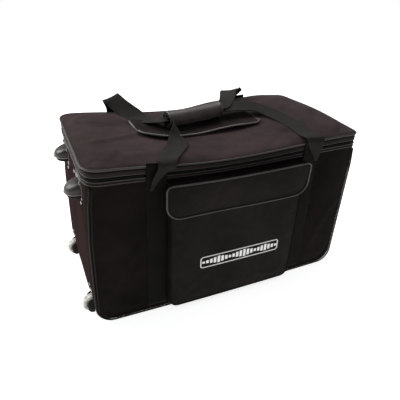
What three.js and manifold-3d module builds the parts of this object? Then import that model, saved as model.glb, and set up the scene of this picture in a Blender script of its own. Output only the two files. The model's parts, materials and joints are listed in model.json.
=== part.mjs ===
// Wheeled padded roller bag for a powered loudspeaker.
// Units: millimetres, +Z up.
// Origin: centre of the base's underside, on the surface the bag lies on.
// -X is the wheel end, +X the tow-handle end, -Y the front with the pocket.

import * as THREE from 'three';
import { mergeVertices } from 'three/addons/utils/BufferGeometryUtils.js';
import Module from 'manifold-3d';

const wasm = await Module();
wasm.setup();

// ---------------------------------------------------------------- dimensions
const LEN = 750;            // over the lid, X
const WID = 386;            // over the lid, Y
const HGT = 440;            // to the lid's top, Z
const LID_R = 22;           // lid corner radius in plan
const WALL = 14;            // padded wall thickness
const WALL_IN = 5;          // walls stand this far inside the lid outline
const BOT_R = 42;           // bottom corner radius of the front and rear panels
const WALL_TOP = 404;       // top of the padded walls
const GAP = 0.3;            // gap between touching pieces

const BX = LEN / 2 - WALL_IN;   // half length of the walls, 370
const BY = WID / 2 - WALL_IN;   // half width of the walls, 188
const BR = LID_R - WALL_IN;     // wall corner radius in plan

const WEB_W = 50;           // webbing width
const WEB_T = 2.4;          // webbing thickness
const FRONT_STRAP_X = 214;  // front strap centres, +-X
const REAR_STRAP_LX = -212; // rear strap centre, wheel side
const REAR_STRAP_RX = 198;  // rear strap centre, tow side

const WHEEL_R = 25;         // wheel radius
const WHEEL_W = 20;         // wheel width
const WHEEL_X = -374;       // wheel axis
const WHEEL_Z = 25.5;
const WHEEL_Y = 130;        // wheels, +-Y
const FOOT_Y = 98;          // stand feet, +-Y
const AXLE_R = 3;

const POCKET_X = 186;       // pocket half width
const POCKET_TOP = 330;
const POCKET_BOT = 16;
const POCKET_D = 22;        // pocket depth off the front panel
const FLAP_X = 198;         // flap half width
const FLAP_Z0 = 297;
const FLAP_Z1 = 390;

// ---------------------------------------------------------------- helpers
const V2 = (x, y) => new THREE.Vector2(x, y);
const V3 = (x, y, z) => new THREE.Vector3(x, y, z);

function arcPts(cx, cy, r, a0, a1, n) {
  const out = [];
  for (let i = 0; i <= n; i++) {
    const a = a0 + (a1 - a0) * i / n;
    out.push(V2(cx + r * Math.cos(a), cy + r * Math.sin(a)));
  }
  return out;
}

// rounded rectangle, radii given for [right-top, left-top, left-bottom, right-bottom]
function roundRect(x0, y0, x1, y1, radii, n = 5) {
  const [rt, lt, lb, rb] = Array.isArray(radii) ? radii : [radii, radii, radii, radii];
  const P = Math.PI;
  const pts = [];
  const add = (cx, cy, r, a0, a1) => {
    if (r < 0.01) pts.push(V2(cx, cy));
    else pts.push(...arcPts(cx, cy, r, a0, a1, n));
  };
  add(x1 - rt, y1 - rt, rt, 0, P / 2);
  add(x0 + lt, y1 - lt, lt, P / 2, P);
  add(x0 + lb, y0 + lb, lb, P, 1.5 * P);
  add(x1 - rb, y0 + rb, rb, 1.5 * P, 2 * P);
  return pts;
}

function shapeOf(pts, holes = []) {
  const s = new THREE.Shape(pts);
  for (const h of holes) s.holes.push(new THREE.Path(h));
  return s;
}

function clean(geo) {
  geo.deleteAttribute('normal');
  geo.deleteAttribute('uv');
  return mergeVertices(geo, 1e-3);
}

// outline in XY, extruded along Z
function prismZ(pts, z0, z1, holes = []) {
  const g = new THREE.ExtrudeGeometry(shapeOf(pts, holes), { depth: z1 - z0, bevelEnabled: false });
  g.translate(0, 0, z0);
  return clean(g);
}

// outline in XZ, extruded along Y
function prismY(pts, y0, y1, holes = []) {
  const g = new THREE.ExtrudeGeometry(shapeOf(pts, holes), { depth: y1 - y0, bevelEnabled: false });
  g.rotateX(Math.PI / 2);
  g.translate(0, y1, 0);
  return clean(g);
}

// outline in YZ, extruded along X
function prismX(pts, x0, x1, holes = []) {
  const g = new THREE.ExtrudeGeometry(shapeOf(pts, holes), { depth: x1 - x0, bevelEnabled: false });
  g.applyMatrix4(new THREE.Matrix4().makeBasis(V3(0, 1, 0), V3(0, 0, 1), V3(1, 0, 0)));
  g.translate(x0, 0, 0);
  return clean(g);
}

function box(x0, y0, z0, x1, y1, z1) {
  const g = new THREE.BoxGeometry(x1 - x0, y1 - y0, z1 - z0);
  g.translate((x0 + x1) / 2, (y0 + y1) / 2, (z0 + z1) / 2);
  return clean(g);
}

// cylinder between two values along one axis
function cyl(axis, r, a0, a1, u, v, seg = 16) {
  const g = new THREE.CylinderGeometry(r, r, a1 - a0, seg);
  if (axis === 'y') {
    g.translate(u, (a0 + a1) / 2, v);
  } else if (axis === 'x') {
    g.rotateZ(-Math.PI / 2);
    g.translate((a0 + a1) / 2, u, v);
  }
  return clean(g);
}

function solid(geo) {
  const p = geo.getAttribute('position');
  const i = geo.getIndex();
  return new wasm.Manifold(new wasm.Mesh({
    numProp: 3,
    vertProperties: new Float32Array(p.array),
    triVerts: new Uint32Array(i.array),
  }));
}

function fromSolid(m) {
  const mesh = m.getMesh();
  const g = new THREE.BufferGeometry();
  g.setAttribute('position', new THREE.BufferAttribute(new Float32Array(mesh.vertProperties), 3));
  g.setIndex(new THREE.BufferAttribute(new Uint32Array(mesh.triVerts), 1));
  return g;
}

const cut = (a, ...bs) => fromSolid(bs.reduce((m, b) => m.subtract(solid(b)), solid(a)));
const join = (a, ...bs) => fromSolid(bs.reduce((m, b) => m.add(solid(b)), solid(a)));
const common = (a, b) => fromSolid(solid(a).intersect(solid(b)));

// a strip of thickness t along an open polyline, as a closed outline
function stripOutline(pts, t) {
  const left = [];
  const right = [];
  for (let i = 0; i < pts.length; i++) {
    const a = pts[Math.max(0, i - 1)];
    const b = pts[i];
    const c = pts[Math.min(pts.length - 1, i + 1)];
    const d0 = b.clone().sub(a);
    const d1 = c.clone().sub(b);
    if (d0.length() < 1e-6) d0.copy(d1);
    if (d1.length() < 1e-6) d1.copy(d0);
    d0.normalize();
    d1.normalize();
    const n0 = V2(-d0.y, d0.x);
    const n1 = V2(-d1.y, d1.x);
    const m = n0.clone().add(n1).normalize();
    const k = (t / 2) / Math.max(0.4, m.dot(n0));
    left.push(b.clone().addScaledVector(m, k));
    right.push(b.clone().addScaledVector(m, -k));
  }
  return right.concat(left.reverse());
}

// convex outline moved outwards by d
function offsetConvex(pts, d) {
  const n = pts.length;
  const area = pts.reduce((s, p, i) => {
    const q = pts[(i + 1) % n];
    return s + p.x * q.y - q.x * p.y;
  }, 0);
  const sgn = area > 0 ? 1 : -1;
  const out = [];
  for (let i = 0; i < n; i++) {
    const a = pts[(i + n - 1) % n];
    const b = pts[i];
    const c = pts[(i + 1) % n];
    const d0 = b.clone().sub(a).normalize();
    const d1 = c.clone().sub(b).normalize();
    const n0 = V2(d0.y, -d0.x).multiplyScalar(sgn);
    const n1 = V2(d1.y, -d1.x).multiplyScalar(sgn);
    const m = n0.clone().add(n1).normalize();
    out.push(b.clone().addScaledVector(m, d / Math.max(0.3, m.dot(n0))));
  }
  return out;
}

// webbing along a smooth path: each stop is [x, y, z, wx, wy, wz, width]
function ribbon(stops, samples, thick) {
  const curve = new THREE.CatmullRomCurve3(stops.map((s) => V3(s[0], s[1], s[2])), false, 'centripetal');
  const wcurve = new THREE.CatmullRomCurve3(stops.map((s) => V3(s[3], s[4], s[5])), false, 'catmullrom', 0.2);
  const g = new THREE.BoxGeometry(samples, 1, 1, samples, 1, 1);
  const pos = g.getAttribute('position');
  const frames = [];
  for (let i = 0; i <= samples; i++) {
    const t = i / samples;
    const p = curve.getPoint(t);
    const tan = curve.getTangent(t);
    const w = wcurve.getPoint(t);
    w.addScaledVector(tan, -w.dot(tan)).normalize();
    const n = tan.clone().cross(w).normalize();
    const f = t * (stops.length - 1);
    const k = Math.min(stops.length - 2, Math.floor(f));
    const width = stops[k][6] + (stops[k + 1][6] - stops[k][6]) * (f - k);
    frames.push({ p, w, n, width });
  }
  for (let j = 0; j < pos.count; j++) {
    const i = Math.round(pos.getX(j) + samples / 2);
    const f = frames[i];
    const q = f.p.clone()
      .addScaledVector(f.w, pos.getY(j) * f.width)
      .addScaledVector(f.n, pos.getZ(j) * thick);
    pos.setXYZ(j, q.x, q.y, q.z);
  }
  return clean(g);
}

// outline of the lid moved inwards by d, in plan
const planOutline = (d) => roundRect(-LEN / 2 + d, -WID / 2 + d, LEN / 2 - d, WID / 2 - d, LID_R - d, 6);

// closed band between two insets of the lid outline
const band = (d0, d1, z0, z1) => prismZ(planOutline(d0), z0, z1, [planOutline(d1)]);

// band that runs round the front and both ends and stops at the rear hinge
const HINGE_X = 325;
const zipBand = (d0, d1, z0, z1) =>
  cut(band(d0, d1, z0, z1), box(-HINGE_X - 2, 120, z0 - 5, HINGE_X + 2, 220, z1 + 5));

// ---------------------------------------------------------------- materials
const mat = (color, roughness, metalness = 0) => new THREE.MeshStandardMaterial({ color, roughness, metalness });
const FABRIC_SIDE = 0x24201f;
const FABRIC_LID = 0x3b3435;
const WEBBING = 0x33312e;
const BINDING = 0x2f2c2b;
const PLASTIC = 0x232120;
const BOARD = 0x4a4744;
const ZIP = 0x1c1b1a;
const STEEL = 0xa7a7a5;
const WRAP = 0x1d1b1c;

const model = new THREE.Group();
function put(name, geo, material, group = model) {
  const m = new THREE.Mesh(geo, material);
  m.name = name;
  group.add(m);
  return m;
}

// ================================================================ shell walls
// outline of the front and rear panels, round at both bottom corners
const panelOutline = (d) => roundRect(-BX + d, d, BX - d, WALL_TOP, [0, 0, BOT_R - d, BOT_R - d], 8);
const wallPrism = prismZ(roundRect(-BX, -BY, BX, BY, BR, 6), -1, 500);

put('front_panel', common(prismY(panelOutline(0), -BY, -BY + WALL), wallPrism), mat(FABRIC_SIDE, 0.9));
put('rear_panel', common(prismY(panelOutline(0), BY - WALL, BY), wallPrism), mat(FABRIC_SIDE, 0.9));

// one padded strip under the bag with both bottom corners
const gussetProfile = [
  ...arcPts(-BX + BOT_R, BOT_R, BOT_R, Math.PI, 1.5 * Math.PI, 8),
  ...arcPts(BX - BOT_R, BOT_R, BOT_R, 1.5 * Math.PI, 2 * Math.PI, 8),
  ...arcPts(BX - BOT_R, BOT_R, BOT_R - WALL, 2 * Math.PI, 1.5 * Math.PI, 8),
  ...arcPts(-BX + BOT_R, BOT_R, BOT_R - WALL, 1.5 * Math.PI, Math.PI, 8),
];
const GUSSET_Y = BY - WALL - GAP;

// wheel housing: the block that fills the cut-out at a bottom corner
const HOUSE_HALF = 16;
const HOUSE_X1 = -337;
const HOUSE_Z1 = 60;
const houseCut = (cy) => box(-420, cy - HOUSE_HALF - 0.4, -5, HOUSE_X1 + 0.4, cy + HOUSE_HALF + 0.4, HOUSE_Z1 + 0.4);

put('base_gusset',
  cut(prismY(gussetProfile, -GUSSET_Y, GUSSET_Y), houseCut(-WHEEL_Y), houseCut(WHEEL_Y)),
  mat(FABRIC_SIDE, 0.92));

// fixing points on the wheel end: four per stand foot, two per wheel housing
const footHoles = (cy) => [[cy - 33, 332], [cy + 33, 332], [cy - 33, 382], [cy + 33, 382]];
const houseHoles = (cy) => [[cy - 13, 76], [cy + 13, 76]];
const allHoles = [...footHoles(-FOOT_Y), ...footHoles(FOOT_Y), ...houseHoles(-WHEEL_Y), ...houseHoles(WHEEL_Y)];
const rivetBores = (x0, x1) => allHoles.map(([y, z]) => cyl('x', 2.5, x0, x1, y, z, 10));

put('wheel_end_panel',
  cut(common(box(-BX, -GUSSET_Y, BOT_R + GAP, -BX + WALL, GUSSET_Y, WALL_TOP), wallPrism),
    houseCut(-WHEEL_Y), houseCut(WHEEL_Y), ...rivetBores(-BX - 5, -BX + WALL + 5)),
  mat(FABRIC_SIDE, 0.9));
put('tow_end_panel',
  common(box(BX - WALL, -GUSSET_Y, BOT_R + GAP, BX, GUSSET_Y, WALL_TOP), wallPrism),
  mat(FABRIC_SIDE, 0.9));

// stiffeners
put('base_board', box(-316, -168, WALL + GAP, 316, 168, WALL + GAP + 4), mat(BOARD, 0.6));
put('wheel_end_board',
  cut(box(-BX + WALL + GAP, -168, 64, -BX + WALL + GAP + 4, 168, 394), ...rivetBores(-BX, -BX + WALL + 10)),
  mat(BOARD, 0.6));

// piping round the front and rear panels
function edgePiping(y0, y1) {
  const outer = roundRect(-BX + 0.4, 0.4, BX - 0.4, 392, [0, 0, BOT_R, BOT_R], 8);
  const inner = roundRect(-BX + 5.6, 5.6, BX - 5.6, 420, [0, 0, BOT_R - 5.2, BOT_R - 5.2], 8);
  return cut(prismY(outer, y0, y1), prismY(inner, y0 - 5, y1 + 5));
}
put('front_piping', edgePiping(-BY - 5.4, -BY - GAP), mat(BINDING, 0.6));
put('rear_piping', edgePiping(BY + GAP, BY + 5.4), mat(BINDING, 0.6));

// top hem, zip and hinge strip
put('rim_binding', band(2.5, WALL_IN - GAP, 397.5, 408.7), mat(BINDING, 0.7));
put('zip_tape_lower', zipBand(WALL_IN, WALL_IN + 2, WALL_TOP + GAP, 411.2), mat(ZIP, 0.8));
put('zip_teeth_lower', zipBand(3.2, 4.7, 409.2, 411.2), mat(ZIP, 0.4));
put('lid_hinge_strip', box(-HINGE_X, BY - 2, WALL_TOP + GAP, HINGE_X, BY, 417.7), mat(FABRIC_LID, 0.9));

// ================================================================ webbing sewn on the walls
const frontLegPath = [
  V2(-BY - 0.4 - WEB_T / 2, 20), V2(-BY - 0.4 - WEB_T / 2, 384), V2(-BY - 4.7, 390.5),
  V2(-BY - 4.7, 420), V2(-BY - 7.2, 430), V2(-BY - 7.2, 446),
];
const frontLeg = (cx) => prismX(stripOutline(frontLegPath, WEB_T), cx - WEB_W / 2, cx + WEB_W / 2);
put('front_strap_left', frontLeg(-FRONT_STRAP_X), mat(WEBBING, 0.85));
put('front_strap_right', frontLeg(FRONT_STRAP_X), mat(WEBBING, 0.85));
const rearLeg = (cx) => box(cx - WEB_W / 2, BY + 0.4, 20, cx + WEB_W / 2, BY + 0.4 + WEB_T, 391);
put('rear_strap_left', rearLeg(REAR_STRAP_LX), mat(WEBBING, 0.85));
put('rear_strap_right', rearLeg(REAR_STRAP_RX), mat(WEBBING, 0.85));

// ================================================================ front pocket
const PY0 = -BY - POCKET_D;     // inside face of the pocket panel
put('pocket_panel',
  prismY(roundRect(-POCKET_X, POCKET_BOT, POCKET_X, POCKET_TOP, [6, 6, 24, 24], 6), PY0 - 3, PY0),
  mat(FABRIC_SIDE, 0.9));
put('pocket_gusset',
  cut(prismY(roundRect(-POCKET_X, POCKET_BOT, POCKET_X, POCKET_TOP, [0, 0, 24, 24], 6), PY0 + GAP, -BY - 0.4),
    prismY(roundRect(-POCKET_X + 3, POCKET_BOT + 3, POCKET_X - 3, POCKET_TOP + 20, [0, 0, 21, 21], 6), PY0 - 5, -BY + 5)),
  mat(FABRIC_SIDE, 0.9));
put('pocket_flap_bridge', box(-188, PY0 - 6.9, FLAP_Z1 - 3, 188, -BY - 0.4, FLAP_Z1), mat(FABRIC_SIDE, 0.9));
put('pocket_loop_tape', box(-150, PY0 - 4.7, 303, 150, PY0 - 3 - GAP, 323), mat(0x151413, 0.95));
put('badge_patch', prismY(roundRect(-108, 128, 132, 164, 6, 4), PY0 - 5.3, PY0 - 3 - GAP), mat(0x9a9a98, 0.6));

const flapOutline = roundRect(-FLAP_X, FLAP_Z0, FLAP_X, FLAP_Z1, [8, 8, 38, 38], 7);
const FY1 = PY0 - 7.3;          // inner face of the flap
put('pocket_flap', prismY(flapOutline, FY1 - 3, FY1), mat(FABRIC_SIDE, 0.8));
put('flap_binding',
  cut(prismY(roundRect(-FLAP_X - 3.3, FLAP_Z0 - 3.3, FLAP_X + 3.3, FLAP_Z1 - 3, [0, 0, 41.3, 41.3], 7), FY1 - 3.8, FY1 + 0.6),
    prismY(roundRect(-FLAP_X - GAP, FLAP_Z0 - GAP, FLAP_X + GAP, FLAP_Z1 + 20, [0, 0, 38.3, 38.3], 7), FY1 - 9, FY1 + 9)),
  mat(BINDING, 0.5));
put('flap_hook_tape', box(-150, FY1 + GAP, 303, 150, PY0 - 5.0, 323), mat(0x151413, 0.95));

// ================================================================ wheel end hardware
// housing: block in the cut-out, lobes that carry the axle, a well for the wheel and a riveted flange
function wheelHousing(cy) {
  const outline = roundRect(-BX - 1.5, -1.5, 300, 200, [0, 0, BOT_R + 1.5, 0], 8);
  const block = common(prismY(outline, cy - HOUSE_HALF, cy + HOUSE_HALF),
    box(-BX - 1.5, cy - 40, 4, HOUSE_X1, cy + 40, HOUSE_Z1));
  const lobe = cyl('y', 14, cy - HOUSE_HALF, cy + HOUSE_HALF, WHEEL_X, WHEEL_Z, 20);
  const flange = box(-BX - 3.3, cy - 20, HOUSE_Z1 - 12, -BX - GAP, cy + 20, 86);
  const whole = join(block, lobe, flange);
  const well = cyl('y', WHEEL_R + 2.5, cy - 11, cy + 11, WHEEL_X, WHEEL_Z, 28);
  const bore = cyl('y', AXLE_R + 0.3, cy - 40, cy + 40, WHEEL_X, WHEEL_Z, 16);
  const holes = houseHoles(cy).map(([y, z]) => cyl('x', 2.5, -BX - 10, -BX + 5, y, z, 10));
  return cut(whole, well, bore, ...holes);
}
put('wheel_housing_front', wheelHousing(-WHEEL_Y), mat(PLASTIC, 0.5));
put('wheel_housing_rear', wheelHousing(WHEEL_Y), mat(PLASTIC, 0.5));

// axle: a pin with a head outside each cheek
function axle(cy) {
  return join(cyl('y', AXLE_R, cy - 17.5, cy + 17.5, WHEEL_X, WHEEL_Z, 16),
    cyl('y', 5, cy - 19, cy - HOUSE_HALF - GAP, WHEEL_X, WHEEL_Z, 16),
    cyl('y', 5, cy + HOUSE_HALF + GAP, cy + 19, WHEEL_X, WHEEL_Z, 16));
}
put('axle_front', axle(-WHEEL_Y), mat(STEEL, 0.35, 0.9));
put('axle_rear', axle(WHEEL_Y), mat(STEEL, 0.35, 0.9));

// wheel: soft tyre on a plastic hub, turned about Y
function lathe(profile, cy, seg = 32) {
  const pts = profile.map(([r, y]) => V2(r, y));
  pts.push(pts[0].clone());
  const g = new THREE.LatheGeometry(pts, seg);
  g.translate(WHEEL_X, cy, WHEEL_Z);
  const c = clean(g);
  // faces outwards
  if (new THREE.Mesh(c) && solidVolume(c) < 0) {
    const idx = c.getIndex();
    for (let i = 0; i < idx.count; i += 3) {
      const a = idx.getX(i);
      idx.setX(i, idx.getX(i + 1));
      idx.setX(i + 1, a);
    }
  }
  return c;
}
function solidVolume(g) {
  const p = g.getAttribute('position');
  const i = g.getIndex();
  let v = 0;
  const a = V3(0, 0, 0);
  const b = V3(0, 0, 0);
  const c = V3(0, 0, 0);
  for (let k = 0; k < i.count; k += 3) {
    a.fromBufferAttribute(p, i.getX(k));
    b.fromBufferAttribute(p, i.getX(k + 1));
    c.fromBufferAttribute(p, i.getX(k + 2));
    v += a.dot(b.cross(c)) / 6;
  }
  return v;
}
const H = WHEEL_W / 2;
const tyreProfile = [[16.4, -H + 1], [22, -H], [24.2, -H + 2], [WHEEL_R, -H + 6], [WHEEL_R, H - 6], [24.2, H - 2], [22, H], [16.4, H - 1]];
const hubProfile = [[AXLE_R + 0.3, -H + 0.5], [7, -H + 0.5], [8, -H + 4], [13, -H + 4], [14, -H + 1], [16, -H + 1],
  [16, H - 1], [14, H - 1], [13, H - 4], [8, H - 4], [7, H - 0.5], [AXLE_R + 0.3, H - 0.5]];
put('wheel_front_tyre', lathe(tyreProfile, -WHEEL_Y), mat(0xcfccc6, 0.45));
put('wheel_front_hub', lathe(hubProfile, -WHEEL_Y), mat(0x8d8b88, 0.5));
put('wheel_rear_tyre', lathe(tyreProfile, WHEEL_Y), mat(0xcfccc6, 0.45));
put('wheel_rear_hub', lathe(hubProfile, WHEEL_Y), mat(0x8d8b88, 0.5));

// stand foot: riveted flange and a hollow-sided wedge
const FOOT_TIP_X = -402;
function standFoot(cy) {
  const flange = prismX(roundRect(cy - 40, 324, cy + 40, 390, 7, 3), -BX - 3.3, -BX - GAP);
  const wedge = prismY([V2(-BX - 3, 330), V2(-BX - 3, 384), V2(FOOT_TIP_X + 3, 371), V2(FOOT_TIP_X, 367), V2(FOOT_TIP_X, 346), V2(FOOT_TIP_X + 3, 343)],
    cy - 26, cy + 26);
  const pocket = [V2(-BX - 6.3, 335.5), V2(-BX - 6.3, 378), V2(FOOT_TIP_X + 4.5, 366), V2(FOOT_TIP_X + 4.5, 347)];
  return cut(join(flange, wedge), prismY(pocket, cy - 40, cy - 2.5), prismY(pocket, cy + 2.5, cy + 40),
    ...footHoles(cy).map(([y, z]) => cyl('x', 2.5, -BX - 10, -BX + 5, y, z, 10)));
}
put('stand_foot_front', standFoot(-FOOT_Y), mat(PLASTIC, 0.4));
put('stand_foot_rear', standFoot(FOOT_Y), mat(PLASTIC, 0.4));

// rivets with one backing plate inside the board
function rivetSet(holes, y0, y1, z0, z1) {
  const xIn = -BX + WALL + GAP + 4 + GAP;
  const plate = box(xIn, y0, z0, xIn + 1.5, y1, z1);
  const parts = [];
  for (const [y, z] of holes) {
    parts.push(cyl('x', 2, -BX - 4.6, xIn + 0.7, y, z, 10));
    parts.push(cyl('x', 4.2, -BX - 5.4, -BX - 3.6, y, z, 14));
  }
  return join(plate, ...parts);
}
put('foot_rivets_front', rivetSet(footHoles(-FOOT_Y), -FOOT_Y - 39, -FOOT_Y + 39, 326, 388), mat(STEEL, 0.3, 0.9));
put('foot_rivets_rear', rivetSet(footHoles(FOOT_Y), FOOT_Y - 39, FOOT_Y + 39, 326, 388), mat(STEEL, 0.3, 0.9));
put('housing_rivets_front', rivetSet(houseHoles(-WHEEL_Y), -WHEEL_Y - 19, -WHEEL_Y + 19, 68, 84), mat(STEEL, 0.3, 0.9));
put('housing_rivets_rear', rivetSet(houseHoles(WHEEL_Y), WHEEL_Y - 19, WHEEL_Y + 19, 68, 84), mat(STEEL, 0.3, 0.9));

// ================================================================ tow handle on the far end
put('tow_handle_patch_lower', box(BX + GAP, -33, 112, BX + 2.3, 33, 172), mat(WEBBING, 0.85));
put('tow_handle_patch_upper', box(BX + GAP, -33, 298, BX + 2.3, 33, 358), mat(WEBBING, 0.85));
const towPath = [V2(BX + 4.4, 118), V2(BX + 4.4, 165), V2(BX + 12, 178), V2(BX + 26, 188), V2(BX + 30, 205),
  V2(BX + 30, 265), V2(BX + 26, 282), V2(BX + 12, 292), V2(BX + 4.4, 305), V2(BX + 4.4, 352)];
put('tow_handle', prismY(stripOutline(towPath, 3.6), -22, 22), mat(WEBBING, 0.85));

// ================================================================ lid
put('lid_panel', prismZ(planOutline(5.2), 430, HGT), mat(FABRIC_LID, 0.9));
put('lid_boxing', band(2, 7, 418, 429.7), mat(FABRIC_LID, 0.9));
put('lid_piping', band(-0.3, 4.9, 433.5, 438.7), mat(BINDING, 0.55));
put('zip_tape_upper', zipBand(WALL_IN, WALL_IN + 2, 411.8, 417.7), mat(ZIP, 0.8));
put('zip_teeth_upper', zipBand(3.2, 4.7, 411.8, 413.8), mat(ZIP, 0.4));
const riser = (cx) => box(cx - WEB_W / 2, WID / 2 + 1.2, 419, cx + WEB_W / 2, WID / 2 + 1.2 + WEB_T, 446);
put('rear_riser_left', riser(REAR_STRAP_LX), mat(WEBBING, 0.85));
put('rear_riser_right', riser(REAR_STRAP_RX), mat(WEBBING, 0.85));

// ================================================================ carry handles
// the grab wrap lies aslant on the lid; both handles run through its slot
const WA = V3(-112, 20, 471.5);
const WB = V3(52, 48, 475);
const wrapAxis = WB.clone().sub(WA);
const wrapLen = wrapAxis.length();
const wu = wrapAxis.clone().normalize();
const wv = V3(0, 0, 1).cross(wu).normalize();       // across the slot
const wn = wu.clone().cross(wv).normalize();        // up
function wrapTube() {
  const outer = arcPts(0, 0, 24, 0, 2 * Math.PI, 18).slice(0, -1);
  const slot = roundRect(-20, -7, 20, 7, 2, 2);
  const g = prismZ(outer, 0, wrapLen, [slot]);
  g.applyMatrix4(new THREE.Matrix4().makeBasis(wv, wn, wu).setPosition(WA));
  return g;
}
put('handle_wrap', wrapTube(), mat(WRAP, 0.35));
const onWrap = (s, h) => WA.clone().addScaledVector(wu, s).addScaledVector(wn, h);
const stop = (p, w, width) => [p.x, p.y, p.z, w.x, w.y, w.z, width];
const FH = -2.5;   // front handle's height in the slot
const RH = 2.5;    // rear handle's height in the slot

put('front_handle_webbing', ribbon([
  [-214, -197.4, 448.4, -1, 0.05, 0, WEB_W],
  [-211, -160, 449.6, -1, 0.1, 0, WEB_W],
  [-205, -108, 451, -0.97, 0.25, 0, WEB_W],
  [-191, -58, 455, -0.85, 0.5, 0, 46],
  [-170, -18, 462, -0.55, 0.85, 0, 38],
  stop(onWrap(-26, FH), wv, 32),
  stop(onWrap(0, FH), wv, 32),
  stop(onWrap(wrapLen * 0.5, FH), wv, 32),
  stop(onWrap(wrapLen, FH), wv, 32),
  stop(onWrap(wrapLen + 26, FH), wv, 32),
  [110, 47, 468, 0.35, 0.95, 0, 38],
  [148, 12, 461, 0.75, 0.65, 0, 46],
  [182, -50, 454, 0.93, 0.35, 0, WEB_W],
  [206, -115, 450.5, 1, 0.15, 0, WEB_W],
  [214, -197.4, 448.4, 1, 0.05, 0, WEB_W],
], 44, WEB_T), mat(WEBBING, 0.85));

put('rear_handle_webbing', ribbon([
  [-214, 199.4, 449.6, 1, 0, 0, WEB_W],
  [-217, 200.4, 466, 1, 0, 0.05, WEB_W],
  [-219, 194, 477, 1, 0, 0.1, WEB_W],
  [-217, 180, 475, 1, 0.05, 0.1, WEB_W],
  [-212, 145, 465, 1, 0.1, 0, WEB_W],
  [-206, 108, 459, 0.97, 0.2, 0, WEB_W],
  [-196, 72, 463, 0.85, 0.5, 0, 46],
  [-174, 36, 472, 0.5, 0.85, 0, 38],
  stop(onWrap(-26, RH), wv, 32),
  stop(onWrap(0, RH), wv, 32),
  stop(onWrap(wrapLen * 0.5, RH), wv, 32),
  stop(onWrap(wrapLen, RH), wv, 32),
  stop(onWrap(wrapLen + 26, RH), wv, 32),
  [108, 70, 480, -0.45, 0.9, 0, 38],
  [142, 102, 474, -0.85, 0.5, 0, 46],
  [170, 145, 463, -1, 0.2, 0, WEB_W],
  [176, 184, 466, -1, 0.05, 0, WEB_W],
  [184, 196, 470.5, -1, 0, 0, WEB_W],
  [193, 201.2, 465, -1, 0, 0, WEB_W],
  [197.6, 201.2, 458, -1, 0, 0, WEB_W],
  [198, 199.8, 450.4, -1, 0, 0, WEB_W],
], 60, WEB_T), mat(WEBBING, 0.85));

// flat unrolled half of the grab wrap, with a bound edge
const apronOutline = [V2(-200, -12), V2(-130, -37), V2(-60, -33), V2(40, -33), V2(143, -30), V2(160, -6), V2(160, 66), V2(-200, 92)];
put('wrap_apron', prismZ(apronOutline, 441, 445.4), mat(WRAP, 0.45));
put('apron_binding', prismZ(offsetConvex(apronOutline, 3.3), 440.6, 446, [offsetConvex(apronOutline, GAP)]), mat(BINDING, 0.4));

// ================================================================ zip sliders and pulls on the far end
function slider(cy) {
  const body = box(LEN / 2 - 2.2, cy - 5, 405.2, LEN / 2 + 1, cy + 5, 417.2);
  const lugA = box(LEN / 2 + 0.5, cy - 4.2, 407, LEN / 2 + 4.6, cy - 2.6, 412.4);
  const lugB = box(LEN / 2 + 0.5, cy + 2.6, 407, LEN / 2 + 4.6, cy + 4.2, 412.4);
  return join(body, lugA, lugB);
}
function pull(cy) {
  const barrel = cyl('y', 1.3, cy - 2.3, cy + 2.3, LEN / 2 + 2.9, 409.7, 12);
  const tab = box(LEN / 2 + 2.1, cy - 2.2, 400, LEN / 2 + 3.7, cy + 2.2, 409.7);
  const grip = box(LEN / 2 + 1.9, cy - 4.2, 368, LEN / 2 + 3.9, cy + 4.2, 401);
  return join(barrel, tab, grip);
}
put('zip_slider_front', slider(-8), mat(0x55534f, 0.35, 0.9));
put('zip_slider_rear', slider(8), mat(0x55534f, 0.35, 0.9));
put('zip_pull_front', pull(-8), mat(0x55534f, 0.35, 0.9));
put('zip_pull_rear', pull(8), mat(0x55534f, 0.35, 0.9));

export default model;
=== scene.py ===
# Looks of the padded roller bag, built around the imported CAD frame.
# Geometry is written in millimetres and scaled to metres when a mesh is made.
import bpy
import bmesh
import json
import math
import numpy as np
from mathutils import Matrix, Vector

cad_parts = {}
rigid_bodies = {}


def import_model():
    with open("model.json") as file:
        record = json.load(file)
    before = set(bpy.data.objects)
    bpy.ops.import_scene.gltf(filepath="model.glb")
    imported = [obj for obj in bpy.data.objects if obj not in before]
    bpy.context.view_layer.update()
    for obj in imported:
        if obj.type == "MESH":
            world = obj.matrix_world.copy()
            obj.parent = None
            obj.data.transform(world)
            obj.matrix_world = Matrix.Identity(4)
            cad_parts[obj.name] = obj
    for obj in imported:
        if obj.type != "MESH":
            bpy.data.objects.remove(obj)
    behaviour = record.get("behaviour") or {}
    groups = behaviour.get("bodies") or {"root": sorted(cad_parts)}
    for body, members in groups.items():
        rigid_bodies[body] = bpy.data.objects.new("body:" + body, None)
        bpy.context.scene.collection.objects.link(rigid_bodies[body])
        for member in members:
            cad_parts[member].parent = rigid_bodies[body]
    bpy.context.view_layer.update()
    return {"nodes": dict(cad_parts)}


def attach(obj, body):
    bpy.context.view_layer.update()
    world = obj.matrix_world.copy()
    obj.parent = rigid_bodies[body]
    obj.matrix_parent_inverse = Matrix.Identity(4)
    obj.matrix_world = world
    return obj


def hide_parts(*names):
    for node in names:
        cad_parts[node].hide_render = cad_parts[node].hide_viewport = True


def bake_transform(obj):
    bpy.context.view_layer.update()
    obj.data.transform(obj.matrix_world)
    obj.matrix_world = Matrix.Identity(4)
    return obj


for o in list(bpy.data.objects):
    bpy.data.objects.remove(o, do_unlink=True)

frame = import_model()
NODES = frame["nodes"]
PI = math.pi

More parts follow.
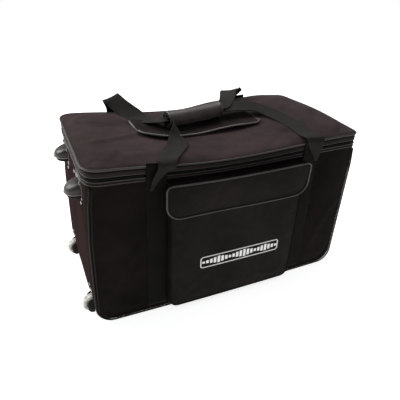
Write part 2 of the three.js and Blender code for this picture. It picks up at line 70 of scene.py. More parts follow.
# ------------------------------------------------------------------ camera
cam_data = bpy.data.cameras.new("camera")
cam = bpy.data.objects.new("camera", cam_data)
bpy.context.scene.collection.objects.link(cam)
RIGHT = Vector((0.91195334, -0.40768495, 0.04619613))
UP = Vector((0.15773926, 0.45231431, 0.87779844))
BACK = RIGHT.cross(UP).normalized()
rot = Matrix((RIGHT, UP, BACK)).transposed()
cam.matrix_world = Matrix.Translation(Vector((-0.46812, -0.95144, 0.81782))) @ rot.to_4x4()
cam_data.sensor_width = 36
cam_data.lens = 36.168
cam_data.shift_x = 0.0
cam_data.shift_y = -0.0375
cam_data.clip_start = 0.01
cam_data.clip_end = 60
bpy.context.scene.camera = cam
bpy.context.scene.view_settings.view_transform = "Standard"
bpy.context.scene.view_settings.look = "None"

# ------------------------------------------------------------------ dimensions, mm
BX, BY, BOT_R, WALL, WALL_TOP = 370.0, 188.0, 42.0, 14.0, 404.0
LID_R = 22.0
WA = np.array([-112.0, 20.0, 471.5])
WB = np.array([52.0, 48.0, 475.0])


def sm(t):
    t = np.clip(t, 0, 1)
    return t * t * (3 - 2 * t)


def sag(x, y=-188.0):
    """How far the lid's rim hangs; its rear tow corner stands up instead."""
    u = np.where(x < -40, (x + 40) / 335.0, (x + 40) / 415.0)
    d = 20.0 * np.cos(PI / 2 * np.clip(u, -1, 1)) ** 2
    rear = sm((np.asarray(y) - 40) / 120)
    return d * (1 - 0.95 * rear * sm((x + 20) / 170)) - 5.5 * rear * np.exp(-((x - 272) / 62) ** 2)


def deform(P):
    """The whole soft shell's slump: the long edges sag, the walls belly out."""
    P = np.array(P, float).reshape(-1, 3).copy()
    x, y, z = P[:, 0].copy(), P[:, 1].copy(), P[:, 2].copy()
    g = np.clip((z - 270) / 170, 0, 1) ** 2
    dz = -sag(x, y) * g
    # the lid's tow end stands a little fuller than its middle
    dz += 7 * sm((x - 170) / 170) * np.cos(PI / 2 * np.clip(y / 200, -1, 1)) ** 2 * sm((z - 428) / 10)
    bx = np.clip(1 - (x / 370) ** 2, 0, 1)
    fz = 1 - sm((z - 120) / 275)
    wy = sm((np.abs(y) - 130) / 45)
    P[:, 1] += np.sign(y) * 4.5 * bx * fz * wy
    dz -= 0.0
    # tow end belly
    by = np.clip(1 - (y / 188) ** 2, 0, 1)
    fz2 = np.clip(1 - ((z - 190) / 205) ** 2, 0, 1)
    P[:, 0] += 4.0 * by * fz2 * sm((x - 330) / 35)
    # wheel end belly, held back round the wheel housings
    fz3 = sm((z - 8) / 50) * (1 - sm((z - 230) / 150))
    held = 1 - 0.6 * np.exp(-((np.abs(y) - 130) / 24) ** 2) * (1 - sm((z - 80) / 40))
    P[:, 0] -= 6.0 * fz3 * held * sm((-x - 330) / 35)
    # the plan corners grow rounder towards the lid
    kc = sm((z - 340) / 55)
    rr = np.where(x > 0, 27.0, 37.0)
    cc = rr - 22
    dx, dy = np.abs(x) - (370 - rr), np.abs(y) - (188 - rr)
    hit_c = (dx > 1e-6) & (dy > 1e-6) & (kc > 0)
    L = np.where(hit_c, np.hypot(dx, dy), 1.0)
    c_, s_ = np.where(hit_c, dx, 1.0) / L, np.where(hit_c, dy, 0.0) / L
    bb = cc * (c_ + s_)
    r0 = bb + np.sqrt(np.maximum(bb * bb - (2 * cc * cc - 484), 0))
    r0 = np.where(s_ < c_ * cc / rr, rr / np.maximum(c_, 1e-6), np.where(c_ < s_ * cc / rr, rr / np.maximum(s_, 1e-6), r0))
    k = np.where(hit_c, 1 + (rr / r0 - 1) * kc, 1.0)
    P[:, 0] -= np.where(hit_c, np.sign(x) * dx * (1 - k), 0)
    P[:, 1] -= np.where(hit_c, np.sign(y) * dy * (1 - k), 0)
    P[:, 2] += dz
    return P


# ------------------------------------------------------------------ materials
def _new_mat(name):
    m = bpy.data.materials.new(name)
    m.use_nodes = True
    nt = m.node_tree
    nt.nodes.clear()
    out = nt.nodes.new("ShaderNodeOutputMaterial")
    bsdf = nt.nodes.new("ShaderNodeBsdfPrincipled")
    nt.links.new(bsdf.outputs[0], out.inputs[0])
    return m, nt, bsdf


def _mix_color(nt, a, b, fac):
    n = nt.nodes.new("ShaderNodeMix")
    n.data_type = "RGBA"
    n.inputs["A"].default_value = (*a, 1)
    n.inputs["B"].default_value = (*b, 1)
    nt.links.new(fac, n.inputs["Factor"])
    return n


def _ramp(nt, src, lo, hi):
    n = nt.nodes.new("ShaderNodeMapRange")
    n.inputs["From Min"].default_value = lo
    n.inputs["From Max"].default_value = hi
    n.inputs["To Min"].default_value = 0.0
    n.inputs["To Max"].default_value = 1.0
    nt.links.new(src, n.inputs["Value"])
    return n.outputs["Result"]


def _noise(nt, vec, scale, detail=3.0, rough=0.55):
    n = nt.nodes.new("ShaderNodeTexNoise")
    n.inputs["Scale"].default_value = scale
    n.inputs["Detail"].default_value = detail
    n.inputs["Roughness"].default_value = rough
    nt.links.new(vec, n.inputs["Vector"])
    return n


def _wave(nt, vec, axis, scale, distortion=0.0):
    n = nt.nodes.new("ShaderNodeTexWave")
    n.wave_type = "BANDS"
    n.bands_direction = axis
    n.wave_profile = "SIN"
    n.inputs["Scale"].default_value = scale
    n.inputs["Distortion"].default_value = distortion
    nt.links.new(vec, n.inputs["Vector"])
    return n


def _math(nt, op, a, b):
    n = nt.nodes.new("ShaderNodeMath")
    n.operation = op
    for i, v in enumerate((a, b)):
        if isinstance(v, (int, float)):
            n.inputs[i].default_value = v
        else:
            nt.links.new(v, n.inputs[i])
    return n.outputs[0]


def fabric(name, dark, light, rough=0.85, sheen=0.25, period=0.0016, bump=0.35, crumple=0.0006, spec=0.25, patch=6.0, coat=0.0):
    """Coated woven cloth: crossing threads, soft crumple, and slow colour blotches that are partly dust and partly
    painted light and shade from soft wrinkles.
    """
    m, nt, b = _new_mat(name)
    tc = nt.nodes.new("ShaderNodeTexCoord")
    vec = tc.outputs["Object"]
    k = 2 * PI / (20 * period)
    wx, wy, wz = (_wave(nt, vec, a, k) for a in "XYZ")
    s = _math(nt, "ADD", _math(nt, "ADD", wx.outputs["Fac"], wy.outputs["Fac"]), wz.outputs["Fac"])
    # broad blotches of the colour mix: partly dust, partly painted light and shade of wrinkles
    n1 = _noise(nt, vec, patch, 4.0)
    n2 = _noise(nt, vec, 38.0, 4.0, 0.6)
    n3 = _noise(nt, vec, 900.0, 2.0, 0.5)
    fac = _ramp(nt, _math(nt, "ADD", _math(nt, "MULTIPLY", n1.outputs["Fac"], 0.8), _math(nt, "MULTIPLY", n3.outputs["Fac"], 0.2)), 0.33, 0.67)
    mix = _mix_color(nt, dark, light, fac)
    nt.links.new(mix.outputs["Result"], b.inputs["Base Color"])
    rr = nt.nodes.new("ShaderNodeMapRange")
    rr.inputs["From Min"].default_value, rr.inputs["From Max"].default_value = 0.3, 0.7
    rr.inputs["To Min"].default_value, rr.inputs["To Max"].default_value = rough - 0.07, min(1.0, rough + 0.06)
    nt.links.new(n2.outputs["Fac"], rr.inputs["Value"])
    nt.links.new(rr.outputs["Result"], b.inputs["Roughness"])
    b.inputs["Sheen Weight"].default_value = sheen
    b.inputs["Sheen Roughness"].default_value = 0.45
    b.inputs["Specular IOR Level"].default_value = spec
    b.inputs["Coat Weight"].default_value = coat
    b.inputs["Coat Roughness"].default_value = 0.4
    bump1 = nt.nodes.new("ShaderNodeBump")
    bump1.inputs["Strength"].default_value = 0.6
    bump1.inputs["Distance"].default_value = crumple
    nt.links.new(n2.outputs["Fac"], bump1.inputs["Height"])
    bump2 = nt.nodes.new("ShaderNodeBump")
    bump2.inputs["Strength"].default_value = bump
    bump2.inputs["Distance"].default_value = 0.00012
    nt.links.new(s, bump2.inputs["Height"])
    nt.links.new(bump1.outputs[0], bump2.inputs["Normal"])
    nt.links.new(bump2.outputs[0], b.inputs["Normal"])
    return m


def webbing_mat(name, dark, light, spec=0.2):
    """Ribbed webbing: rows across the width from the UVs, which are in centimetres."""
    m, nt, b = _new_mat(name)
    tc = nt.nodes.new("ShaderNodeTexCoord")
    uv = tc.outputs["UV"]
    across = _wave(nt, uv, "Y", 2 * PI / (20 * 0.17))
    lengthwise = _wave(nt, uv, "X", 2 * PI / (20 * 0.29))
    n1 = _noise(nt, tc.outputs["Object"], 14.0, 4.0)
    n2 = _noise(nt, tc.outputs["Object"], 700.0, 2.0)
    h = _math(nt, "ADD", _math(nt, "MULTIPLY", across.outputs["Fac"], 0.7), _math(nt, "MULTIPLY", lengthwise.outputs["Fac"], 0.5))
    fac = _ramp(nt, _math(nt, "ADD", _math(nt, "MULTIPLY", n1.outputs["Fac"], 0.6), _math(nt, "ADD", _math(nt, "MULTIPLY", h, 0.22), _math(nt, "MULTIPLY", n2.outputs["Fac"], 0.2))), 0.32, 0.75)
    mix = _mix_color(nt, dark, light, fac)
    nt.links.new(mix.outputs["Result"], b.inputs["Base Color"])
    b.inputs["Roughness"].default_value = 0.72
    b.inputs["Sheen Weight"].default_value = 0.03
    b.inputs["Sheen Roughness"].default_value = 0.4
    b.inputs["Specular IOR Level"].default_value = spec
    bump = nt.nodes.new("ShaderNodeBump")
    bump.inputs["Strength"].default_value = 0.5
    bump.inputs["Distance"].default_value = 0.0003
    nt.links.new(h, bump.inputs["Height"])
    nt.links.new(bump.outputs[0], b.inputs["Normal"])
    return m


def plastic(name, dark, light, rough=0.45, spec=0.5, grain=600.0, bump=0.15, metallic=0.0, var=25.0, sub=0.0, coat=0.0):
    """Moulded or plated surface with a fine grain and handling marks."""
    m, nt, b = _new_mat(name)
    tc = nt.nodes.new("ShaderNodeTexCoord")
    vec = tc.outputs["Object"]
    n1 = _noise(nt, vec, var, 5.0, 0.6)
    n2 = _noise(nt, vec, grain, 3.0)
    fac = _ramp(nt, n1.outputs["Fac"], 0.35, 0.68)
    mix = _mix_color(nt, dark, light, fac)
    nt.links.new(mix.outputs["Result"], b.inputs["Base Color"])
    rr = nt.nodes.new("ShaderNodeMapRange")
    rr.inputs["From Min"].default_value, rr.inputs["From Max"].default_value = 0.3, 0.7
    rr.inputs["To Min"].default_value, rr.inputs["To Max"].default_value = rough - 0.08, rough + 0.12
    nt.links.new(n1.outputs["Fac"], rr.inputs["Value"])
    nt.links.new(rr.outputs["Result"], b.inputs["Roughness"])
    b.inputs["Metallic"].default_value = metallic
    b.inputs["Specular IOR Level"].default_value = spec
    b.inputs["Subsurface Weight"].default_value = sub
    b.inputs["Subsurface Scale"].default_value = 0.004
    b.inputs["Coat Weight"].default_value = coat
    bump_n = nt.nodes.new("ShaderNodeBump")
    bump_n.inputs["Strength"].default_value = bump
    bump_n.inputs["Distance"].default_value = 0.00015
    nt.links.new(n2.outputs["Fac"], bump_n.inputs["Height"])
    nt.links.new(bump_n.outputs[0], b.inputs["Normal"])
    return m


# The side, end and lid cloths are one black cloth in shaded and lit copies: the end and lid copies are set lighter to
# paint the key light falling on the wheel end and the top, the side copy darker for the shaded front.
M_SIDE = fabric("side_cloth", (0.0048, 0.0037, 0.0034), (0.0118, 0.0091, 0.0085), rough=0.9, sheen=0.006, patch=5.0, spec=0.035, crumple=0.0010)
M_END_PAINTED_LIGHT = fabric("end_cloth", (0.0170, 0.0105, 0.0098), (0.0290, 0.0182, 0.0172), rough=0.95, sheen=0.006, patch=6.0, spec=0.0, crumple=0.0010)
M_LID_PAINTED_LIGHT = fabric("lid_cloth", (0.0165, 0.0106, 0.0102), (0.0455, 0.0285, 0.0300), rough=0.84, sheen=0.02, patch=8.0, spec=0.10, crumple=0.0022)
M_POCKET = fabric("pocket_cloth", (0.0056, 0.0043, 0.0040), (0.0135, 0.0103, 0.0098), rough=0.86, sheen=0.012, patch=6.0, spec=0.10, crumple=0.0012)
M_BOX = fabric("boxing_cloth", (0.0125, 0.0100, 0.0094), (0.023, 0.0182, 0.0172), rough=0.86, sheen=0.03, patch=9.0, spec=0.1)
M_LINING = fabric("lining_cloth", (0.02, 0.019, 0.019), (0.032, 0.03, 0.03), rough=0.9, sheen=0.1, period=0.0009, spec=0.15)
M_BIND = fabric("binding_cloth", (0.022, 0.0185, 0.0175), (0.042, 0.0355, 0.0335), rough=0.5, sheen=0.05, period=0.0011, spec=0.3, crumple=0.0003)
M_EDGE = fabric("edge_piping_cloth", (0.0045, 0.0038, 0.0036), (0.0095, 0.0078, 0.0074), rough=0.6, sheen=0.02, period=0.0011, spec=0.15, crumple=0.0003)
M_FLAPBIND = fabric("flap_binding_cloth", (0.0135, 0.0115, 0.011), (0.034, 0.029, 0.0275), rough=0.4, sheen=0.03, period=0.0011, spec=0.45, crumple=0.0006, patch=12.0)
# painted highlight: a pale copy of the binding cloth for the bright lip of the apron and the bound ends of the roll
M_LIP_PAINTED_HIGHLIGHT = fabric("apron_binding_cloth", (0.034, 0.029, 0.0285), (0.07, 0.06, 0.058), rough=0.36, sheen=0.05, period=0.0011, spec=0.6, crumple=0.0004, patch=14.0)
# painted light: the wrap cloth is set lighter to paint the brighter top of the roll
M_WRAP_PAINTED_LIGHT = fabric("wrap_cloth", (0.028, 0.0205, 0.0195), (0.066, 0.0490, 0.0465), rough=0.5, sheen=0.03, period=0.0010, spec=0.35, crumple=0.0012, patch=16.0)
M_ZIPTAPE = fabric("zip_tape_cloth", (0.0032, 0.003, 0.0028), (0.006, 0.0056, 0.0052), rough=0.9, sheen=0.01, period=0.0007, spec=0.05)
M_HOOK = fabric("hook_loop_cloth", (0.006, 0.006, 0.006), (0.014, 0.0135, 0.013), rough=0.97, sheen=0.2, period=0.0014, bump=0.9, spec=0.1)
M_WEB = webbing_mat("webbing_weave", (0.0090, 0.0078, 0.0068), (0.0225, 0.0200, 0.0176), 0.09)
# painted shade: a darker copy of the webbing for the straps on the shaded walls and the tow patches
M_WEB_PAINTED_SHADE = webbing_mat("webbing_weave_shade", (0.0030, 0.0027, 0.0024), (0.0068, 0.0061, 0.0054), 0.05)
M_THREAD = plastic("thread", (0.008, 0.0072, 0.0068), (0.02, 0.018, 0.017), rough=0.7, spec=0.15, grain=2000.0)
M_PLASTIC = plastic("black_moulding", (0.020, 0.0185, 0.0175), (0.044, 0.040, 0.0375), rough=0.4, spec=0.35, grain=900.0, bump=0.25)
M_FOOT = plastic("foot_moulding", (0.022, 0.0185, 0.0165), (0.050, 0.0425, 0.0385), rough=0.42, spec=0.4, grain=900.0, bump=0.3)
# painted highlight: a pale plastic for the light line along each foot's rim
M_RIM_PAINTED_HIGHLIGHT = plastic("foot_rim_moulding", (0.13, 0.115, 0.105), (0.27, 0.24, 0.22), rough=0.35, spec=0.5, grain=900.0, bump=0.2)
# painted shade: a near-black copy of the plastic for the shaded hollow under each foot
M_CORE_PAINTED_SHADE = plastic("foot_core_moulding", (0.005, 0.0046, 0.0044), (0.011, 0.010, 0.0095), rough=0.6, spec=0.1, grain=900.0, bump=0.3)
M_BOARD = plastic("board_sheet", (0.020, 0.0195, 0.019), (0.032, 0.031, 0.030), rough=0.6, grain=350.0, bump=0.5)
M_COIL = plastic("zip_coil", (0.004, 0.004, 0.0038), (0.009, 0.0088, 0.0085), rough=0.4, spec=0.25, grain=2500.0)
M_ZIPMETAL = plastic("zip_enamel", (0.02, 0.02, 0.019), (0.045, 0.044, 0.042), rough=0.3, spec=0.5, coat=0.3)
M_STEEL = plastic("zinc_plate", (0.42, 0.42, 0.41), (0.62, 0.61, 0.60), rough=0.33, metallic=1.0, grain=1400.0)
M_TYRE = plastic("tyre_urethane", (0.34, 0.33, 0.30), (0.86, 0.84, 0.79), rough=0.3, sub=0.1, var=130.0)
M_HUB = plastic("hub_nylon", (0.07, 0.068, 0.064), (0.30, 0.29, 0.28), rough=0.34, var=80.0)
M_BADGE = fabric("badge_weave", (0.0045, 0.0043, 0.0042), (0.0085, 0.0082, 0.008), rough=0.8, sheen=0.02, period=0.0008, spec=0.06)
M_BARS = fabric("badge_thread", (0.86, 0.85, 0.84), (0.97, 0.96, 0.95), rough=0.6, sheen=0.05, period=0.0008, patch=40.0, spec=0.2)


# painted shade: the same wrap cloth set darker where its flat half lies under the roll and the curled lip
M_APRON_PAINTED_SHADE = fabric("apron_cloth", (0.0095, 0.0062, 0.0060), (0.0230, 0.0155, 0.0155), rough=0.72, sheen=0.008, period=0.0010, spec=0.05, crumple=0.0012, patch=12.0)


# ------------------------------------------------------------------ mesh helpers
def mk(name, V, F, mat, D=True, uv=None, shade=True, recalc=True):
    V = np.array(V, float).reshape(-1, 3)
    if D:
        V = deform(V)
    me = bpy.data.meshes.new(name)
    me.from_pydata((V * 0.001).tolist(), [], [tuple(int(i) for i in f) for f in F])
    if uv is not None:
        layer = me.uv_layers.new(name="UVMap")
        idx = np.zeros(len(me.loops), np.int32)
        me.loops.foreach_get("vertex_index", idx)
        layer.data.foreach_set("uv", np.array(uv, np.float32)[idx].ravel())
    if recalc:
        bm = bmesh.new()
        bm.from_mesh(me)
        bmesh.ops.recalc_face_normals(bm, faces=bm.faces)
        bm.to_mesh(me)
        bm.free()
    me.materials.append(mat)
    me.polygons.foreach_set("use_smooth", [bool(shade)] * len(me.polygons))
    me.update()
    ob = bpy.data.objects.new(name, me)
    bpy.context.scene.collection.objects.link(ob)
    return ob


def subsurf(ob, n=1):
    s = ob.modifiers.new("sub", "SUBSURF")
    s.levels = n
    s.render_levels = n


def lines(a, b, step, marks=()):
    pts = sorted({a, b, *[m for m in marks if a < m < b]})
    out = []
    for p, q in zip(pts[:-1], pts[1:]):
        n = max(1, int(round((q - p) / step)))
        out += [p + (q - p) * i / n for i in range(n)]
    return np.array(out + [b])


def warp(U, V, box, radii):
    """Turns the square corners of a grid into round ones."""
    x0, x1, y0, y1 = box
    U, V = U.copy(), V.copy()
    for (cx, cy, sx, sy, r) in ((x0, y0, -1, -1, radii[0]), (x1, y0, 1, -1, radii[1]), (x1, y1, 1, 1, radii[2]), (x0, y1, -1, 1, radii[3])):
        if r <= 0:
            continue
        kx, ky = cx - sx * r, cy - sy * r
        dx, dy = (U - kx) * sx, (V - ky) * sy
        inside = (dx > 1e-9) & (dy > 1e-9)
        L = np.hypot(dx, dy)
        k = np.where(inside, np.maximum(dx, dy) / np.maximum(L, 1e-9), 1.0)
        U = np.where(inside, kx + sx * dx * k, U)
        V = np.where(inside, ky + sy * dy * k, V)
    return U, V


def rim_dist(U, V, box, radii, open_sides=""):
    """Distance in from the rounded outline; sides named in open_sides don't count."""
    x0, x1, y0, y1 = box
    big = 1e6
    d = np.minimum.reduce([
        np.full_like(U, big) if "l" in open_sides else U - x0,
        np.full_like(U, big) if "r" in open_sides else x1 - U,
        np.full_like(U, big) if "b" in open_sides else V - y0,
        np.full_like(U, big) if "t" in open_sides else y1 - V])
    for (cx, cy, sx, sy, r) in ((x0, y0, -1, -1, radii[0]), (x1, y0, 1, -1, radii[1]), (x1, y1, 1, 1, radii[2]), (x0, y1, -1, 1, radii[3])):
        if r <= 0:
            continue
        kx, ky = cx - sx * r, cy - sy * r
        dx, dy = (U - kx) * sx, (V - ky) * sy
        inside = (dx > 0) & (dy > 0)
        d = np.where(inside, r - np.hypot(dx, dy), d)
    return np.maximum(d, 0)


SIMS = []


def pad(name, us, vs, mp, mat, thick, e=9.0, e_in=4.0, radii=(0, 0, 0, 0), open_sides="", keep=None,
        cap=7.0, pressure=4.0, shrink=-0.012, belly=3.0, post=None, lining=None, sim=True, inner_belly=0.0, strips=()):
    """A padded panel: outer skin with rolled edges, lining skin, walls round every rim."""
    box = (us[0], us[-1], vs[0], vs[-1])
    U0, V0 = np.meshgrid(us, vs, indexing="ij")
    U, V = warp(U0, V0, box, radii)
    d = rim_dist(U, V, box, radii, open_sides)
    dall = rim_dist(U, V, box, radii, "")
    w_out = np.where(d < e, e - np.sqrt(np.maximum(0, e * e - (e - np.minimum(d, e)) ** 2)), 0.0)
    w_in = thick - np.where(d < e_in, e_in - np.sqrt(np.maximum(0, e_in * e_in - (e_in - np.minimum(d, e_in)) ** 2)), 0.0)
    w_in = np.maximum(w_in, w_out + 0.4)
    outer = mp(U, V, w_out)
    inner = mp(U, V, w_in - inner_belly * 0)
    nu, nv = U.shape
    N = nu * nv
    P = np.concatenate([outer.reshape(-1, 3), inner.reshape(-1, 3)])
    um, vm = (us[:-1] + us[1:]) / 2, (vs[:-1] + vs[1:]) / 2
    K = np.ones((nu - 1, nv - 1), bool)
    if keep is not None:
        for i in range(nu - 1):
            for j in range(nv - 1):
                K[i, j] = keep(um[i], vm[j])
    F, side = [], []
    idx = lambda i, j: i * nv + j
    for i in range(nu - 1):
        for j in range(nv - 1):
            if not K[i, j]:
                continue
            a, b, c, dd = idx(i, j), idx(i + 1, j), idx(i + 1, j + 1), idx(i, j + 1)
            F.append((a, b, c, dd)); side.append(0)
            F.append((N + a, N + dd, N + c, N + b)); side.append(1)
            for (p, q, ni, nj) in ((a, b, i, j - 1), (b, c, i + 1, j), (c, dd, i, j + 1), (dd, a, i - 1, j)):
                if not (0 <= ni < nu - 1 and 0 <= nj < nv - 1) or not K[ni, nj]:
                    F.append((p, N + p, N + q, q)); side.append(0)
    used = np.zeros(2 * N, bool)
    for f in F:
        used[list(f)] = True
    remap = np.cumsum(used) - 1
    F = [tuple(remap[i] for i in f) for f in F]
    P = P[used]
    ob = mk(name, P, F, mat, D=False)
    # one lining slot on the inner skin
    if lining is not None:
        ob.data.materials.append(lining)
        inner_first = int(used[:N].sum())
        for poly in ob.data.polygons:
            if all(v >= inner_first for v in poly.vertices):
                poly.material_index = 1
    grid_d = np.concatenate([dall.ravel(), np.zeros(N)])[used]
    free_d = np.concatenate([d.ravel(), np.zeros(N)])[used]
    # the outward direction at each outer point
    nrm = (mp(U, V, np.zeros_like(U)) - mp(U, V, np.ones_like(U))).reshape(-1, 3)
    nrm = np.concatenate([nrm, nrm])[used]
    uv2 = np.concatenate([np.stack([U, V], -1).reshape(-1, 2)] * 2)[used]
    SIMS.append(dict(ob=ob, P=P, d=grid_d, n=nrm, uv=uv2, cap=cap, pressure=pressure, shrink=shrink,
                     belly=belly, box=box, post=post, sim=sim, strips=strips, outer=np.concatenate([np.ones(N, bool), np.zeros(N, bool)])[used]))
    return ob


def run_sims():
    """Swells every padded panel: cloth with pressure, its rim sewn down."""
    live = []
    for s in SIMS:
        ob = s["ob"]
        if not s["sim"]:
            x0, x1, y0, y1 = s["box"]
            u = np.clip((s["uv"][:, 0] - x0) / (x1 - x0), 0, 1)
            v = np.clip((s["uv"][:, 1] - y0) / (y1 - y0), 0, 1)
            b = s["belly"] * (4 * u * (1 - u)) ** 0.6 * (4 * v * (1 - v)) ** 0.6 * s["outer"]
            for cx in s["strips"]:
                b = b * sm((np.abs(s["uv"][:, 0] - cx) - 25) / 22)
            s["co"] = s["P"] + s["n"] * b[:, None]
            continue
        vg = ob.vertex_groups.new(name="sewn")
        w = np.where(s["outer"], 1 - sm((s["d"] - 9) / 16), 1.0)
        for cx in s["strips"]:
            w = np.maximum(w, np.where(s["outer"], 1 - sm((np.abs(s["uv"][:, 0] - cx) - 24) / 14), 1.0))
        w = np.where(w < 0.02, 0.0, w)
        for i, x in enumerate(w):
            if x > 0:
                vg.add([i], float(x), "REPLACE")
        m = ob.modifiers.new("swell", "CLOTH")
        st = m.settings
        st.quality = 4
        st.mass = 0.25
        st.air_damping = 2.0
        st.tension_stiffness = 12
        st.compression_stiffness = 12
        st.shear_stiffness = 6
        st.bending_stiffness = 0.6
        st.vertex_group_mass = "sewn"
        st.pin_stiffness = 1.0
        st.use_pressure = True
        st.uniform_pressure_force = s["pressure"]
        st.shrink_min = s["shrink"]
        st.effector_weights.gravity = 0.0
        m.collision_settings.use_collision = False
        m.collision_settings.use_self_collision = False
        m.point_cache.frame_start = 1
        m.point_cache.frame_end = 24
        live.append(s)
    if live:
        sc = bpy.context.scene
        sc.frame_start, sc.frame_end = 1, 24
        for f in range(1, 21):
            sc.frame_set(f)
        dg = bpy.context.evaluated_depsgraph_get()
        for s in live:
            ev = s["ob"].evaluated_get(dg)
            co = np.zeros(len(s["P"]) * 3, np.float32)
            ev.data.vertices.foreach_get("co", co)
            co = co.reshape(-1, 3).astype(float) * 1000
            dv = co - s["P"]
            L = np.linalg.norm(dv, axis=1)
            k = np.where(L > 1e-9, s["cap"] * np.tanh(L / s["cap"]) / np.maximum(L, 1e-9), 0)
            dv = dv * k[:, None]
            # no panel is pressed in more than a little
            along = np.einsum("ij,ij->i", dv, s["n"])
            dv = dv + s["n"] * (np.maximum(along, -2.0) - along)[:, None]
            dv[~s["outer"]] = 0
            for cx in s["strips"]:
                dv = dv * sm((np.abs(s["uv"][:, 0] - cx) - 25) / 10)[:, None]
            dv[~np.isfinite(dv)] = 0
            s["co"] = s["P"] + dv
            s["ob"].modifiers.clear()
            s["ob"].vertex_groups.clear()
        sc.frame_set(1)
    for s in SIMS:
        co = s["co"]
        if s["post"] is not None:
            co = s["post"](co, s)
        co = deform(co)
        s["ob"].data.vertices.foreach_set("co", (co * 0.001).astype(np.float32).ravel())
        s["ob"].data.update()
        subsurf(s["ob"], 1)


def fold_field(x, y, folds):
    """Soft ridges and furrows along line segments."""
    h = np.zeros_like(x)
    for (x0, y0, x1, y1, amp, wid) in folds:
        dx, dy = x1 - x0, y1 - y0
        L = math.hypot(dx, dy)
        t = ((x - x0) * dx + (y - y0) * dy) / (L * L)
        s = ((x - x0) * dy - (y - y0) * dx) / L
        ends = sm(np.clip(t * 4, 0, 1)) * sm(np.clip((1 - t) * 4, 0, 1))
        wob = 0.25 * wid * np.sin(t * 7 + x0)
        h += 2.0 * amp * ends * (np.exp(-((s + wob) / wid) ** 2) - 0.45 * np.exp(-((s + wob - 1.6 * wid) / (1.4 * wid)) ** 2))
    return h


# ring sweeps round the lid outline
def ring_base(step=11.0):
    B, n = [], []
    def side(a, b, const, axis, nx, ny):
        for t in lines(min(a, b), max(a, b), step, (-325.0, 325.0))[:: 1 if b > a else -1]:
            B.append((const, t) if axis == "y" else (t, const)); n.append((nx, ny))
    def arc(cx, cy, a0):
        for k in range(1, 8):
            a = math.radians(a0 + 90 * k / 8)
            B.append((cx, cy)); n.append((math.cos(a), math.sin(a)))
    side(-171, 171, 353, "y", 1, 0); arc(353, 171, 0)
    side(353, -353, 171, "x", 0, 1); arc(-353, 171, 90)
    side(171, -171, -353, "y", -1, 0); arc(-353, -171, 180)
    side(-353, 353, -171, "x", 0, -1); arc(353, -171, 270)
    return np.array(B), np.array(n)


RB, RN = ring_base()


def ring(name, profile, mat, opened=False, D=True):
    """Sweeps a closed (inset, z) profile round the lid outline. opened leaves out the straight run of the rear hinge."""
    prof = np.array(profile, float)
    B, n = RB, RN
    if opened:
        rear = (RN[:, 1] > 0.99)
        inner = rear & (np.abs(RB[:, 0]) < 324.9)
        keep = ~inner
        start = int(np.where(rear & (np.abs(RB[:, 0] + 325) < 0.1))[0][0])
        order = [(start + i) % len(B) for i in range(len(B))]
        order = [i for i in order if keep[i]]
        B, n = B[order], n[order]
    m, q = len(B), len(prof)
    V = np.zeros((m, q, 3))
    V[:, :, 0] = B[:, None, 0] + n[:, None, 0] * (LID_R - prof[None, :, 0])
    V[:, :, 1] = B[:, None, 1] + n[:, None, 1] * (LID_R - prof[None, :, 0])
    V[:, :, 2] = prof[None, :, 1]
    F = []
    for i in range(m if not opened else m - 1):
        a, b = i, (i + 1) % m
        for j in range(q):
            k = (j + 1) % q
            F.append((a * q + j, b * q + j, b * q + k, a * q + k))
    if opened:
        F.append(tuple(range(q)))
        F.append(tuple((m - 1) * q + j for j in reversed(range(q))))
    return mk(name, V.reshape(-1, 3), F, mat, D=D)


def circle(dc, zc, r, n=10, ry=None):
    return [(dc + r * math.cos(2 * PI * i / n), zc + (ry or r) * math.sin(2 * PI * i / n)) for i in range(n)]


# smooth path through points
def spline(P, n):
    P = np.array(P, float)
    seg = np.linalg.norm(np.diff(P[:, :3], axis=0), axis=1) ** 0.5
    t = np.concatenate([[0], np.cumsum(seg)])
    out = []
    ts = np.linspace(0, t[-1], n)
    Pe = np.vstack([2 * P[0] - P[1], P, 2 * P[-1] - P[-2]])
    te = np.concatenate([[t[0] - (t[1] - t[0])], t, [t[-1] + (t[-1] - t[-2])]])
    for x in ts:
        k = min(max(int(np.searchsorted(t, x, side="right")) - 1, 0), len(P) - 2) + 1
        t0, t1, t2, t3 = te[k - 1], te[k], te[k + 1], te[k + 2]
        p0, p1, p2, p3 = Pe[k - 1], Pe[k], Pe[k + 1], Pe[k + 2]
        a1 = (t1 - x) / (t1 - t0) * p0 + (x - t0) / (t1 - t0) * p1
        a2 = (t2 - x) / (t2 - t1) * p1 + (x - t1) / (t2 - t1) * p2
        a3 = (t3 - x) / (t3 - t2) * p2 + (x - t2) / (t3 - t2) * p3
        b1 = (t2 - x) / (t2 - t0) * a1 + (x - t0) / (t2 - t0) * a2
        b2 = (t3 - x) / (t3 - t1) * a2 + (x - t1) / (t3 - t1) * a3
        out.append((t2 - x) / (t2 - t1) * b1 + (x - t1) / (t2 - t1) * b2)
    return np.array(out)


def even(C, extra, step):
    """Resamples a polyline at even spacing, with its other columns."""
    L = np.concatenate([[0], np.cumsum(np.linalg.norm(np.diff(C, axis=0), axis=1))])
    n = max(2, int(round(L[-1] / step)) + 1)
    s = np.linspace(0, L[-1], n)
    return np.stack([np.interp(s, L, C[:, i]) for i in range(3)], 1), [np.stack([np.interp(s, L, e[:, i]) for i in range(e.shape[1])], 1) for e in extra], s


